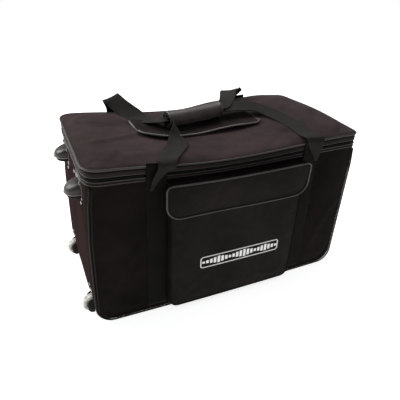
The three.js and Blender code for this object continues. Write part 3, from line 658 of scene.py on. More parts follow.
def ribbon(name, stops, mat, thick=2.4, step=5.0, D=True, lift=0.0):
    """Webbing along stops [x, y, z, wx, wy, wz, width]. Returns the object and its frames."""
    S = np.array(stops, float)
    dense = spline(S, 60 * len(S))
    C, (W, wd), s = even(dense[:, :3], [dense[:, 3:6], dense[:, 6:7]], step)
    T = np.gradient(C, axis=0)
    T /= np.linalg.norm(T, axis=1)[:, None]
    W = W - np.einsum("ij,ij->i", W, T)[:, None] * T
    W /= np.linalg.norm(W, axis=1)[:, None]
    Nn = np.cross(T, W)
    sec = np.array([-1, -0.985, -0.94, -0.86, -0.6, -0.3, 0, 0.3, 0.6, 0.86, 0.94, 0.985, 1])
    h = thick / 2 * np.array([0.35, 0.8, 1.06, 1.06, 0.95, 0.95, 0.95, 0.95, 0.95, 1.06, 1.06, 0.8, 0.35])
    q = len(sec)
    m = len(C)
    V = np.zeros((m, 2 * q, 3))
    uv = np.zeros((m, 2 * q, 2))
    for j in range(q):
        off = sec[j] * wd / 2
        V[:, j] = C + W * off + Nn * (h[j] + lift)
        V[:, 2 * q - 1 - j] = C + W * off + Nn * (-h[j] + lift)
        for jj in (j, 2 * q - 1 - j):
            uv[:, jj, 0] = sec[j] * 2.5
            uv[:, jj, 1] = s / 10
    F = []
    Q = 2 * q
    for i in range(m - 1):
        for j in range(Q):
            k = (j + 1) % Q
            F.append((i * Q + j, i * Q + k, (i + 1) * Q + k, (i + 1) * Q + j))
    F.append(tuple(range(Q)))
    F.append(tuple((m - 1) * Q + j for j in reversed(range(Q))))
    ob = mk(name, V.reshape(-1, 3), F, mat, D=D, uv=uv.reshape(-1, 2))
    return ob, dict(C=C, W=W, N=Nn, wd=wd, s=s)


def tube(name, P, r, mat, n=10, step=6.0, closed=False, D=True, ry=None, hint=(0, 1, 0), smooth_path=True):
    """A cord of radius r along a path."""
    P = np.array(P, float)
    if closed:
        P = np.vstack([P, P[:1]])
    dense = spline(P, 20 * len(P)) if smooth_path else P
    C, _, s = even(dense, [], step)
    if closed:
        C = C[:-1]
    m = len(C)
    if closed:
        T = np.roll(C, -1, 0) - np.roll(C, 1, 0)
    else:
        T = np.gradient(C, axis=0)
    T /= np.linalg.norm(T, axis=1)[:, None]
    H = np.tile(np.array(hint, float), (m, 1))
    A = np.cross(T, H)
    A /= np.maximum(np.linalg.norm(A, axis=1)[:, None], 1e-9)
    Bn = np.cross(A, T)
    V = np.zeros((m, n, 3))
    for j in range(n):
        a = 2 * PI * j / n
        V[:, j] = C + A * (r * math.cos(a)) + Bn * ((ry or r) * math.sin(a))
    F = []
    for i in range(m if closed else m - 1):
        i2 = (i + 1) % m
        for j in range(n):
            k = (j + 1) % n
            F.append((i * n + j, i2 * n + j, i2 * n + k, i * n + k))
    if not closed:
        F.append(tuple(range(n)))
        F.append(tuple((m - 1) * n + j for j in reversed(range(n))))
    return mk(name, V.reshape(-1, 3), F, mat, D=D)


def stitches(name, rows, mat=None, pitch=4.0, length=2.7, r=0.36, D=True):
    """Sewn thread: short lozenges along rows of (points, outward normals)."""
    V, F = [], []
    for P, Nn in rows:
        P, Nn = np.array(P, float), np.array(Nn, float)
        if Nn.ndim == 1:
            Nn = np.tile(Nn, (len(P), 1))
        L = np.concatenate([[0], np.cumsum(np.linalg.norm(np.diff(P, axis=0), axis=1))])
        k = int(L[-1] / pitch)
        for i in range(k):
            s0 = (i + 0.5) * pitch - length / 2
            a, b, c = (np.array([np.interp(x, L, P[:, q]) for q in range(3)]) for x in (s0, s0 + length / 2, s0 + length))
            nn = np.array([np.interp(s0 + length / 2, L, Nn[:, q]) for q in range(3)])
            nn /= max(np.linalg.norm(nn), 1e-9)
            t = c - a
            t /= max(np.linalg.norm(t), 1e-9)
            w = np.cross(t, nn)
            base = len(V)
            V += [a - nn * 0.1, b + nn * r * 1.2 + w * 0, b + w * r, b - nn * r * 0.6, b - w * r, c - nn * 0.1]
            for p, q in ((1, 2), (2, 3), (3, 4), (4, 1)):
                F += [(base, base + q, base + p), (base + 5, base + p, base + q)]
    if not V:
        return None
    return mk(name, V, F, mat or M_THREAD, D=D)


def ride(ob, body, replaces=()):
    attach(ob, body)
    if replaces:
        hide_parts(*replaces)
    return ob


# ================================================================== padded walls
def wall_post(sg):
    """Long soft creases in the wall cloth, clear of the sewn straps."""
    folds = [(-350, 60, -255, 230, 1.6, 9), (-350, 330, -262, 180, 1.3, 10), (255, 70, 345, 250, 1.5, 10), (262, 340, 350, 190, 1.4, 9),
             (-345, 130, -270, 90, 1.1, 7), (275, 120, 352, 100, 1.2, 8), (-120, 60, 120, 90, 1.2, 12), (-150, 300, 90, 240, 1.2, 12)]

    def f(co, s):
        x, z = s["uv"][:, 0], s["uv"][:, 1]
        free = sm((s["d"] - 6) / 20)
        for cx in s["strips"]:
            free = free * sm((np.abs(x - cx) - 27) / 14)
        h = fold_field(x, z, folds)
        co = co.copy()
        co[:, 1] += sg * np.where(s["outer"], h * free, 0)
        return co
    return f


for sgn, nm, node in ((-1, "front_wall", "front_panel"), (1, "rear_wall", "rear_panel")):
    us = lines(-BX, BX, 10.5, (-BX + BOT_R, BX - BOT_R))
    vs = lines(0.0, WALL_TOP, 10.5, (BOT_R,))
    def mp(U, V, W, s=sgn):
        return np.stack([U, s * (BY - W), V], -1)
    w = pad(nm, us, vs, mp, M_SIDE, WALL, e=4.0, radii=(BOT_R, BOT_R, 0, 0), open_sides="t", cap=4.0, belly=2.5, lining=M_LINING,
            strips=(-214.0, 214.0) if sgn < 0 else (-212.0, 198.0), post=wall_post(sgn))
    w["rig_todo"] = node

YG = 173.7
marks_y = (-146.4, -113.6, 113.6, 146.4)
for sgn, nm, node in ((-1, "wheel_end_wall", "wheel_end_panel"), (1, "tow_end_wall", "tow_end_panel")):
    us = lines(-YG, YG, 10.0, marks_y if sgn < 0 else ())
    vs = lines(42.3, WALL_TOP, 10.5, (60.4,) if sgn < 0 else ())
    def mp(U, V, W, s=sgn):
        return np.stack([s * (BX - W), U, V], -1)
    keep = (lambda u, v: not (v < 60.4 and 113.6 < abs(u) < 146.4)) if sgn < 0 else None
    # painted light: the wheel end wall takes the lighter end copy of the cloth, the tow end the darker side copy
    w = pad(nm, us, vs, mp, M_END_PAINTED_LIGHT if sgn < 0 else M_SIDE, WALL, e=2.5, open_sides="tb", keep=keep,
            cap=1.2 if sgn < 0 else 3.5, belly=0.6 if sgn < 0 else 2.0, lining=M_LINING)
    w["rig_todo"] = node

ARC = BOT_R * PI / 2
STRAIGHT = 2 * (BX - BOT_R)


def base_point(s):
    """Outer profile of the base strip in XZ, with the inward normal, by arc length."""
    s = np.asarray(s, float)
    a = np.clip(s / BOT_R, 0, PI / 2)
    b = np.clip((s - ARC - STRAIGHT) / BOT_R, 0, PI / 2)
    x = np.where(s < ARC, -BX + BOT_R - BOT_R * np.cos(a), np.where(s < ARC + STRAIGHT, -BX + BOT_R + (s - ARC), BX - BOT_R + BOT_R * np.sin(b)))
    z = np.where(s < ARC, BOT_R - BOT_R * np.sin(a), np.where(s < ARC + STRAIGHT, 0.0, BOT_R - BOT_R * np.cos(b)))
    nx = np.where(s < ARC, np.cos(a), np.where(s < ARC + STRAIGHT, 0.0, -np.sin(b)))
    nz = np.where(s < ARC, np.sin(a), np.where(s < ARC + STRAIGHT, 1.0, np.cos(b)))
    return x, z, nx, nz


CUT_S = BOT_R * math.acos((BOT_R - (BX - 336.6)) / BOT_R)


def mp_base(U, V, W):
    x, z, nx, nz = base_point(U)
    return np.stack([x + nx * W, V, z + nz * W], -1)


base_wall = pad("base_strip", lines(0.0, 2 * ARC + STRAIGHT, 11.0, (CUT_S, ARC, ARC + STRAIGHT)), lines(-YG, YG, 10.0, marks_y), mp_base, M_SIDE, WALL,
                e=2.5, open_sides="lr", keep=lambda u, v: not (u < CUT_S and 113.6 < abs(v) < 146.4), sim=False, belly=-0.0, lining=M_LINING)
base_wall["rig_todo"] = "base_gusset"

# ================================================================== lid panel
LID_FOLDS = [
    (-350, -60, -150, 10, 2.0, 9), (-345, 110, -215, 60, 1.4, 12), (-300, -150, -120, -110, 1.2, 14),
    (-60, -120, 130, -80, 1.3, 16), (60, -170, 230, -60, 1.2, 12), (250, -160, 345, 40, 1.8, 10),
    (270, 20, 350, 150, 1.6, 12), (190, 90, 330, 120, 1.4, 14), (-330, -175, -270, -90, 1.6, 8),
    (300, -175, 350, -110, 1.8, 8), (-360, 20, -330, 150, 1.2, 9), (-20, 110, 170, 160, 1.2, 14),
]


def lid_post(co, s):
    x, y = s["uv"][:, 0], s["uv"][:, 1]
    inset = sm((s["d"] - 8) / 30)
    h = fold_field(x, y, LID_FOLDS)
    # a slack, slightly hollow middle and a fuller tow end
    h += -4.0 * np.exp(-(((x + 30) / 190) ** 2 + ((y + 95) / 75) ** 2)) + 3.0 * np.exp(-(((x - 265) / 90) ** 2 + ((y - 60) / 110) ** 2))
    co = co.copy()
    co[:, 2] += np.where(s["outer"], h * inset, 0)
    return co


# painted light: the lid takes the lighter lid copy of the cloth for its lit top
lid = pad("lid_top", lines(-371.6, 371.6, 9.0, (-353, 353)), lines(-189.6, 189.6, 9.0, (-171, 171)),
          lambda U, V, W: np.stack([U, V, 440 - W], -1), M_LID_PAINTED_LIGHT, 10.0, e=4.2, radii=(18.6,) * 4, cap=4.0, belly=2.0,
          post=lid_post, lining=M_LINING, shrink=-0.02)
lid["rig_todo"] = "lid_panel"

# ================================================================== pocket
PY0 = -210.0
pk = pad("pocket_front", lines(-186, 186, 9.0, (-162, 162)), lines(16, 330, 9.0, (40,)),
         lambda U, V, W: np.stack([U, PY0 - 3 + W, V], -1), M_POCKET, 3.0, e=2.4, e_in=0.5, radii=(24, 24, 3, 3), cap=3.4, belly=2.2, shrink=-0.02)
pk["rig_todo"] = "pocket_panel"
FLAP_Z0, FLAP_Z1, FLAP_X = 297.0, 390.0, 198.0
fl = pad("pocket_flap_cloth", lines(-FLAP_X, FLAP_X, 8.0, (-160, 160)), lines(FLAP_Z0, FLAP_Z1, 8.0, (335, 377)),
         lambda U, V, W: np.stack([U, -220.3 + W, V], -1), M_POCKET, 3.0, e=2.4, e_in=0.5, radii=(38, 38, 13, 13), cap=2.6, belly=1.8, shrink=-0.02,
         post=lambda co, s: co - np.stack([0 * co[:, 0], 1.2 * np.sin(co[:, 0] / 47.0) * sm((380 - co[:, 2]) / 70) - 1.0, 0 * co[:, 0]], 1))
fl["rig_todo"] = "pocket_flap"

def pocket_folds(folds, sg=-1):
    def f(co, s):
        x, z = s["uv"][:, 0], s["uv"][:, 1]
        co = co.copy()
        co[:, 1] += sg * np.where(s["outer"], fold_field(x, z, folds) * sm((s["d"] - 5) / 14), 0)
        return co
    return f


SIMS[-2]["post"] = pocket_folds([(-170, 40, -60, 130, 1.0, 7), (60, 60, 175, 30, 1.0, 8), (120, 250, 178, 150, 1.1, 7), (-178, 280, -120, 170, 1.1, 7), (-60, 250, 60, 200, 0.8, 9)])

# ================================================================== wrap apron
AX = np.array([-200, -192, -160, -130, -67, 0, 38, 100, 143, 160.0])
AF = np.array([-6, -26, -44, -50, -38, -36, -36, -35, -31, -12.0])
AR = np.array([92, 92, 90, 87, 82, 77, 75, 70, 67, 66.0])


def mp_apron(U, V, W):
    yf = np.interp(U, AX, AF)
    yr = np.interp(U, AX, AR)
    y = yf + (yr - yf) * V / 100.0
    # the free front edge curls up, the sheet rises to the roll behind it
    t = V / 100.0
    z = 445.0 + 9.5 * np.exp(-t * 8) * (0.75 + 0.25 * np.sin(U / 47.0)) + 1.6 * np.sin(U / 31.0) * (1 - t) + 7 * sm((t - 0.35) / 0.5)
    return np.stack([U + 3 * np.sin(V / 20.0), y, z - W], -1)


# the flat half takes the darker copy of the wrap cloth, painted shade
ap = pad("wrap_apron_pad", lines(-200, 160, 8.0), lines(0, 100, 7.0), mp_apron, M_APRON_PAINTED_SHADE, 4.2, e=2.0, e_in=1.0, sim=False, belly=1.4)
ap["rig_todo"] = "wrap_apron"

run_sims()
BODY_OF = {"lid_panel": "lid", "pocket_flap": "pocket_flap", "wrap_apron": "rear_handle"}
for s in SIMS:
    ob = s["ob"]
    node = ob["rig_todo"]
    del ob["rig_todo"]
    ride(ob, BODY_OF.get(node, "bag"), (node,))

# ================================================================== edge piping of the front and rear panels
for sgn, nm, node in ((-1, "front_edge_piping", "front_piping"), (1, "rear_edge_piping", "rear_piping")):
    r0 = BOT_R - 2.6
    path = [(-BX + 2.6, z) for z in np.linspace(391, BOT_R, 30)]
    path += [(-BX + BOT_R - r0 * math.cos(a), BOT_R - r0 * math.sin(a)) for a in np.linspace(0.12, PI / 2 - 0.12, 9)]
    path += [(x, 2.6) for x in np.linspace(-BX + BOT_R, BX - BOT_R, 54)]
    path += [(BX - BOT_R + r0 * math.sin(a), BOT_R - r0 * math.cos(a)) for a in np.linspace(0.12, PI / 2 - 0.12, 9)]
    path += [(BX - 2.6, z) for z in np.linspace(BOT_R, 391, 30)]
    P = np.array([(x * (1 - 0.5 / 370), sgn * 187.9, z + 0.3) for x, z in path])
    ob = tube(nm, P, 2.1, M_EDGE, n=10, step=6.0)
    ride(ob, "bag", (node,))
    # painted highlight: the welt cord beside each piping takes the lighter boxing cloth to light the wall's rounded
    # edge
    kx, kz = (BX - 6.6) / BX, 6.4
    P = np.array([(x * kx, sgn * 187.9, kz + (z - 0.3) * (391 - kz) / 391) for x, z in path])
    ride(tube(nm + "_welt", P, 1.8, M_BOX, n=8, step=6.0), "bag")

# seam between each end strip and the panels
rows = []
for sx in (-1, 1):
    for sy in (-1, 1):
        z = np.linspace(52, 392, 60)
        rows.append((np.stack([np.full_like(z, sx * 370.4), np.full_like(z, sy * 163.0), z], 1), (sx, 0, 0)))
ride(stitches("end_seam_stitching", rows, pitch=4.5), "bag")

# ================================================================== hem, zip, boxing, lid piping
hem = ring("rim_hem", [(4.9, 397.2), (3.0, 397.0), (2.6, 399.0), (2.9, 401.2), (3.4, 402.3), (3.5, 403.4), (3.0, 404.4), (2.7, 405.9),
                       (2.9, 407.6), (3.6, 408.7), (4.9, 408.8)], M_BOX)
for nm, z_ in (("rim_hem_cord_low", 400.2), ("rim_hem_cord_high", 407.6)):
    ride(ring(nm, circle(2.6, z_, 1.35, 8), M_BIND), "bag")
ride(hem, "bag", ("rim_binding",))
ob = ring("zip_tape_low", [(6.6, 404.4), (5.2, 404.4), (5.1, 408), (5.2, 411.3), (6.6, 411.3)], M_ZIPTAPE, opened=True)
ride(ob, "bag", ("zip_tape_lower",))
ob = ring("zip_tape_high", [(6.6, 411.8), (5.2, 411.8), (5.1, 414), (5.2, 417.6), (6.6, 417.6)], M_ZIPTAPE, opened=True)
ride(ob, "lid", ("zip_tape_upper",))


def coil(name, zc, up):
    """Zip coil: one small hooked turn every 2.4 mm."""
    rear = (RN[:, 1] > 0.99)
    start = int(np.where(rear & (np.abs(RB[:, 0] + 325) < 0.1))[0][0])
    order = [(start + i) % len(RB) for i in range(len(RB))]
    order = [i for i in order if not (rear[i] and abs(RB[i, 0]) < 324.9)]
    line = RB[order] + RN[order] * (LID_R - 4.2)
    nn = RN[order]
    L = np.concatenate([[0], np.cumsum(np.linalg.norm(np.diff(line, axis=0), axis=1))])
    V, F = [], []
    k = int(L[-1] / 2.4)
    sec = [(-0.75, -1.0), (0.75, -1.0), (1.0, 0.0), (0.75, 1.0), (-0.75, 1.0), (-1.0, 0.0)]
    for i in range(k):
        s0 = (i + 0.5) * 2.4
        p = np.array([np.interp(s0, L, line[:, q]) for q in range(2)])
        q2 = np.array([np.interp(s0 + 0.5, L, line[:, q]) for q in range(2)]) - p
        t = q2 / max(np.linalg.norm(q2), 1e-9)
        n = np.array([t[1], -t[0]])
        if np.dot(n, np.array([np.interp(s0, L, nn[:, q]) for q in range(2)])) < 0:
            n = -n
        b = len(V)
        for side, sc in ((-0.62, 0.8), (0.0, 1.0), (0.62, 0.8)):
            for (a, c) in sec:
                x = p + t * side + n * a * 0.75 * sc
                V.append((x[0], x[1], zc + c * 1.0 * sc + up * 0.15))
        for r in range(2):
            for j in range(6):
                j2 = (j + 1) % 6
                F.append((b + r * 6 + j, b + r * 6 + j2, b + (r + 1) * 6 + j2, b + (r + 1) * 6 + j))
        F.append(tuple(b + j for j in reversed(range(6))))
        F.append(tuple(b + 12 + j for j in range(6)))
    return mk(name, V, F, M_COIL)


ride(coil("zip_coil_low", 410.2, 1), "bag", ("zip_teeth_lower",))
ride(coil("zip_coil_high", 412.9, -1), "lid", ("zip_teeth_upper",))
boxing = ring("lid_side_band", [(6.9, 418.1), (4.4, 417.9), (2.9, 419.0), (2.1, 421.2), (1.9, 423.8), (2.1, 426.4), (2.9, 428.8), (4.4, 430.2), (6.9, 430.2), (8.6, 427), (8.8, 423.8), (8.6, 420.5)], M_BOX)
ride(boxing, "lid", ("lid_boxing",))
seam = ring("lid_band_seam", circle(2.9, 418.9, 1.3, 8), M_BIND)
ride(seam, "lid")
pip = ring("lid_edge_piping", circle(2.2, 435.9, 2.5, 10), M_BIND)
ride(pip, "lid", ("lid_piping",))
welt = ring("lid_edge_welt", circle(6.0, 432.4, 2.2, 8) , M_LID_PAINTED_LIGHT)
ride(welt, "lid")
rows = []
for dd, z, nz in ((9.5, 440.2, 1.0),):
    line = RB + RN * (LID_R - dd)
    P = np.column_stack([line, np.full(len(line), z)])
    rows.append((np.vstack([P, P[:1]]), (0, 0, 1)))
ride(stitches("lid_edge_stitching", rows, pitch=5.0, length=3.3), "lid")
rows = []
for z in (399.6, 406.0):
    line = RB + RN * (LID_R - 1.85)
    P = np.column_stack([line, np.full(len(line), z)])
    Nn = np.column_stack([RN, np.zeros(len(line))])
    rows.append((P, Nn))
ride(stitches("hem_stitching", rows, pitch=4.5, length=3.0, r=0.3), "bag")

# hinge strip behind the lid
n = 100
xs = np.linspace(-325, 325, n)
prof = [(186.3, 404.2), (187.6, 404.2), (188.6, 407.5), (189.0, 411.0), (188.6, 414.5), (187.6, 417.9), (186.3, 417.9), (187.2, 411.0)]
V = [(x, y + 0.25 * math.sin(x / 9.0), z) for x in xs for (y, z) in prof]
q = len(prof)
F = [(i * q + j, i * q + (j + 1) % q, (i + 1) * q + (j + 1) % q, (i + 1) * q + j) for i in range(n - 1) for j in range(q)]
F += [tuple(range(q)), tuple((n - 1) * q + j for j in reversed(range(q)))]
for hk in range(13):
    x0h, x1h = -325 + 50 * hk, -275 + 50 * hk
    xs = np.linspace(x0h, x1h, 9)
    V = [(x, y + 0.25 * math.sin(x / 9.0), z) for x in xs for (y, z) in prof]
    F = [(i * q + j, i * q + (j + 1) % q, (i + 1) * q + (j + 1) % q, (i + 1) * q + j) for i in range(len(xs) - 1) for j in range(q)]
    F += [tuple(range(q)), tuple((len(xs) - 1) * q + j for j in reversed(range(q)))]
    hinge = mk(f"lid_hinge_cloth_{hk:02d}", V, F, M_LID_PAINTED_LIGHT)
    if hk == 0:
        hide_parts("lid_hinge_strip")
    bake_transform(hinge)

# ================================================================== webbing on the walls, in the darker webbing copy that paints their shade
strap_rows = []
for cx, nm, node in ((-214, "front_strap_web_left", "front_strap_left"), (214, "front_strap_web_right", "front_strap_right")):
    st = [(cx, -189.9, 20), (cx, -189.9, 90), (cx, -190.2, 200), (cx, -190.0, 300), (cx, -190.2, 380), (cx, -191.6, 389), (cx, -193.5, 397), (cx, -193.6, 408), (cx, -193.4, 424),
          (cx, -195.0, 431), (cx, -196.4, 437), (cx, -196.2, 443), (cx, -195.4, 446.4)]
    ob, fr = ribbon(nm, [(*p, 1, 0, 0, 50) for p in st], M_WEB_PAINTED_SHADE, step=6.0, lift=0.9)
    ride(ob, "bag", (node,))
    for off in (-21.5, 21.5):
        P = np.array([(cx + off, y - 2.3, z) for (_, y, z) in st[:7]])
        strap_rows.append((P, (0, -1, 0)))
ride(stitches("front_strap_stitching", strap_rows, pitch=4.2), "bag")
strap_rows = []
for cx, nm, n1, n2 in ((-212, "rear_strap_web_left", "rear_strap_left", "rear_riser_left"), (198, "rear_strap_web_right", "rear_strap_right", "rear_riser_right")):
    st = [(cx, 189.9, 20), (cx, 189.9, 120), (cx, 189.9, 250), (cx, 190.0, 370), (cx, 191.2, 387), (cx, 193.7, 397), (cx, 194.4, 408), (cx, 194.6, 420), (cx, 195.8, 431),
          (cx, 196.6, 438), (cx, 196.4, 446.4)]
    ob, fr = ribbon(nm, [(*p, -1, 0, 0, 50) for p in st], M_WEB_PAINTED_SHADE, step=6.0, lift=0.9)
    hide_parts(n1, n2)
    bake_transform(ob)
    for off in (-21.5, 21.5):
        strap_rows.append((np.array([(cx + off, y + 2.3, z) for (_, y, z) in st[:4]]), (0, 1, 0)))
ride(stitches("rear_strap_stitching", strap_rows, pitch=4.2), "bag")

# ================================================================== carry handles
wu = (WB - WA) / np.linalg.norm(WB - WA)
WLEN = float(np.linalg.norm(WB - WA))
wv = np.cross([0, 0, 1.0], wu); wv /= np.linalg.norm(wv)
wn = np.cross(wu, wv)


def on(s, h, side=0.0):
    return WA + wu * s + wn * h + wv * side


def stop(p, w, width):
    return (*p, *w, width)


nwv = tuple(-wv)
front_stops = [
    (-227, -194.2, 372, -0.98, -0.12, -0.15, 5), (-221, -196.2, 391, -0.95, -0.16, -0.26, 14), (-211, -199.2, 413, -0.93, -0.18, -0.32, 25),
    (-200, -201.2, 431, -0.93, -0.16, -0.33, 34), (-192, -199.0, 444, -0.94, -0.08, -0.32, 41), (-185, -187, 450.5, -0.96, 0.12, -0.2, 46),
    (-173, -163, 448.8, -0.93, 0.34, -0.06, 49), (-155, -132, 444.5, -0.86, 0.5, 0, 50), (-130, -100, 445, -0.88, 0.45, 0.05, 50),
    (-111, -62, 449, -0.9, 0.2, 0.3, 50), (-101, -32, 456, -0.72, -0.25, 0.62, 46), (-99, -8, 464.5, -0.45, -0.55, 0.72, 40),
    (-105, 8, 470, -0.15, -0.75, 0.65, 34),
    stop(on(-1, -1.5), (0.12, -0.9, 0.4), 32), stop(on(22, -2.5), nwv, 32), stop(on(WLEN * 0.5, -2.5), nwv, 32), stop(on(WLEN - 18, -2.5), nwv, 32),
    stop(on(WLEN + 6, -2.5), nwv, 34),
    (84, 50, 474, 0.1, -0.97, -0.12, 40), (114, 52, 473.5, 0.02, -0.97, -0.2, 46), (146, 50, 471, -0.15, -0.95, -0.22, 50),
    (178, 42, 465, -0.45, -0.85, -0.2, 50), (203, 18, 456, -0.8, -0.58, -0.1, 50), (219, -20, 449, -0.97, -0.2, 0, 50),
    (227, -62, 445.5, -1, 0.0, 0, 50), (227, -108, 444.6, -1, 0.08, 0, 50), (221, -152, 446, -1, 0.1, 0, 50),
    (216.5, -181, 450.0, -1, 0.05, 0.05, 50), (216, -194, 449.5, -1, 0.1, 0.1, 50), (217.5, -199.8, 440, -0.98, 0.2, 0.05, 46),
    (221, -200, 424, -0.97, 0.26, 0, 36), (227, -197.6, 400, -0.97, 0.24, 0, 20), (232, -195, 380, -1, 0.2, 0, 7),
]
fh, ffr = ribbon("front_handle_web", front_stops, M_WEB, step=4.0)
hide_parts("front_handle_webbing")
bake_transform(fh)

wvt = tuple(wv)
rear_stops = [
    (-212, 197.6, 447.2, 1, 0, 0, 50), (-214, 200.5, 458, 1, 0, 0.06, 50), (-219, 201.5, 470, 0.97, 0, 0.2, 50), (-224, 197, 480, 0.92, 0, 0.38, 50),
    (-222, 187, 481, 0.86, 0.02, 0.5, 50), (-213, 172, 473.5, 0.74, 0.06, 0.66, 50), (-200, 152, 464, 0.68, 0.1, 0.72, 50), (-183, 124, 456, 0.78, 0.2, 0.58, 50),
    (-166, 92, 452, 0.88, 0.38, 0.28, 50), (-149, 60, 456, 0.78, 0.6, 0.1, 44), (-134, 36, 464, 0.45, 0.88, 0.0, 36),
    stop(on(-4, 1.5), (0.0, 1.0, 0.0), 32), stop(on(20, 2.5), wvt, 32), stop(on(WLEN * 0.5, 2.5), wvt, 32), stop(on(WLEN - 18, 2.5), wvt, 32),
    stop(on(WLEN + 5, 3.5), wvt, 32),
    (76, 60, 479.5, -0.4, 0.9, 0.1, 36), (98, 84, 481, -0.72, 0.68, 0.1, 42), (120, 118, 479, -0.93, 0.35, 0.05, 48), (138, 150, 476, -1, 0.1, 0, 50),
    (154, 175, 473, -1, 0, 0, 50), (170, 190, 463.5, -1, 0, 0, 50), (186, 197.5, 455, -1, 0, 0, 50), (196, 198.8, 450.0, -1, 0, 0, 50), (198, 197.6, 447.0, -1, 0, 0, 50),
]
rh, rfr = ribbon("rear_handle_web", rear_stops, M_WEB, step=4.0)
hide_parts("rear_handle_webbing")
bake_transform(rh)

# grab wrap: rolled cloth with an overlapping seam and bound ends
nl, na = 44, 48
V, F = [], []
rng = np.random.RandomState(7)
dent = rng.normal(size=(5, 4))


def roll_r(a, t):
    """Spiral section with a step where the cloth overlaps, and slow dents."""
    u = ((a - math.radians(205)) % (2 * PI)) / (2 * PI)
    r = 22.0 + 2.2 * u
    for k in range(5):
        r += 0.35 * dent[k, 0] * math.sin(t * (3 + 2.3 * k) + dent[k, 1] * 3 + a * (k % 3))
    r -= 0.8 * math.exp(-((t - 0.5) / 0.2) ** 2)
    return r


for i in range(nl + 1):
    t = i / nl
    for j in range(na):
        a = 2 * PI * j / na
        r = roll_r(a, t)
        p = WA + wu * (t * WLEN) + wv * (r * math.cos(a)) + wn * (r * 0.96 * math.sin(a))
        V.append(p)
for i in range(nl + 1):
    t = i / nl
    for j in range(na):
        a = 2 * PI * j / na
        r = 17.5 if 0.03 < t < 0.97 else 18.0
        V.append(WA + wu * (t * WLEN) + wv * (r * math.cos(a)) + wn * (r * 0.62 * math.sin(a)))
O = (nl + 1) * na
for i in range(nl):
    for j in range(na):
        k = (j + 1) % na
        F.append((i * na + j, i * na + k, (i + 1) * na + k, (i + 1) * na + j))
        F.append((O + i * na + j, O + (i + 1) * na + j, O + (i + 1) * na + k, O + i * na + k))
for j in range(na):
    k = (j + 1) % na
    F.append((j, O + j, O + k, k))
    F.append((nl * na + j, nl * na + k, O + nl * na + k, O + nl * na + j))
# the roll takes the lighter copy of the wrap cloth, painted light on its top
roll = mk("handle_wrap_roll", V, F, M_WRAP_PAINTED_LIGHT)
ride(roll, "rear_handle", ("handle_wrap",))
for nm, t in (("wrap_end_binding_left", 0.0), ("wrap_end_binding_right", 1.0)):
    P = [WA + wu * (t * WLEN) + wv * (roll_r(2 * PI * j / 28, t) * 0.97 * math.cos(2 * PI * j / 28)) + wn * (roll_r(2 * PI * j / 28, t) * 0.93 * math.sin(2 * PI * j / 28)) for j in range(28)]
    # the bound ends take the same pale binding, painted highlight
    ob = tube(nm, P, 2.3, M_LIP_PAINTED_HIGHLIGHT, n=8, step=4.0, closed=True, hint=tuple(wu))
    ride(ob, "rear_handle")
# the wrap's lengthwise overlap edge
P = [WA + wu * (t * WLEN) + wv * (24.2 * math.cos(math.radians(203))) + wn * (23.4 * math.sin(math.radians(203))) for t in np.linspace(0.01, 0.99, 20)]
ride(tube("wrap_overlap_binding", P, 1.5, M_FLAPBIND, n=8, step=5.0, hint=(0, 0, 1)), "rear_handle")

# bound edge of the flat half
edge = []
for t in np.linspace(0.85, 0.0, 12):
    edge.append(mp_apron(np.array(-200.0), np.array(t * 100), np.array(2.0)))
for x in np.linspace(-196, 156, 46):
    edge.append(mp_apron(np.array(x), np.array(0.0), np.array(2.0)))
for t in np.linspace(0.0, 0.7, 8):
    edge.append(mp_apron(np.array(160.0), np.array(t * 100), np.array(2.0)))
# the lip's pale binding paints its highlight
ob = tube("apron_edge_binding", np.array(edge), 2.9, M_LIP_PAINTED_HIGHLIGHT, n=10, step=5.0, hint=(0, 0, 1), ry=2.7)
ride(ob, "rear_handle", ("apron_binding",))

# ================================================================== pocket gusset, bridge, bindings, badge
def u_path(x1, z0, ztop, r, n=9):
    L = [(-x1, z) for z in np.linspace(ztop, z0 + r, 26)]
    L += [(-x1 + r - r * math.cos(a), z0 + r - r * math.sin(a)) for a in np.linspace(0.1, PI / 2 - 0.1, n)]
    L += [(x, z0) for x in np.linspace(-x1 + r, x1 - r, 34)]
    L += [(x1 - r + r * math.sin(a), z0 + r - r * math.cos(a)) for a in np.linspace(0.1, PI / 2 - 0.1, n)]
    L += [(x1, z) for z in np.linspace(z0 + r, ztop, 26)]
    return np.array(L)


UP_ = u_path(184.5, 17.5, 329, 22.5)
Tn = np.gradient(UP_, axis=0)
Tn /= np.linalg.norm(Tn, axis=1)[:, None]
No = np.stack([Tn[:, 1], -Tn[:, 0]], 1)   # outward for this direction of travel
if np.dot(No[5], (-1, 0)) < 0:
    No = -No
prof = [(0.0, -188.5), (1.6, -189.5), (2.3, -194), (1.0, -199), (2.4, -204), (1.6, -208.5), (0.2, -210.2), (-1.6, -209.6), (-1.6, -199), (-1.6, -188.5)]
V = [(p[0] + n_[0] * o_, y_, p[1] + n_[1] * o_) for p, n_ in zip(UP_, No) for (o_, y_) in prof]
q = len(prof)
m_ = len(UP_)
F = [(i * q + j, i * q + (j + 1) % q, (i + 1) * q + (j + 1) % q, (i + 1) * q + j) for i in range(m_ - 1) for j in range(q)]
F += [tuple(range(q)), tuple((m_ - 1) * q + j for j in reversed(range(q)))]
ride(mk("pocket_side_gusset", V, F, M_SIDE), "bag", ("pocket_gusset",))
P = np.array([(p[0] + n_[0] * 0.6, -211.6, p[1] + n_[1] * 0.6) for p, n_ in zip(UP_, No)])
ride(tube("pocket_edge_seam", P, 1.5, M_SIDE, n=8, step=6.0), "bag")
P = np.array([(p[0] - n_[0] * 6.0, -214.2, p[1] - n_[1] * 6.0) for p, n_ in zip(UP_, No)])
ride(stitches("pocket_edge_stitching", [(P, (0, -1, 0))], pitch=4.2), "bag")

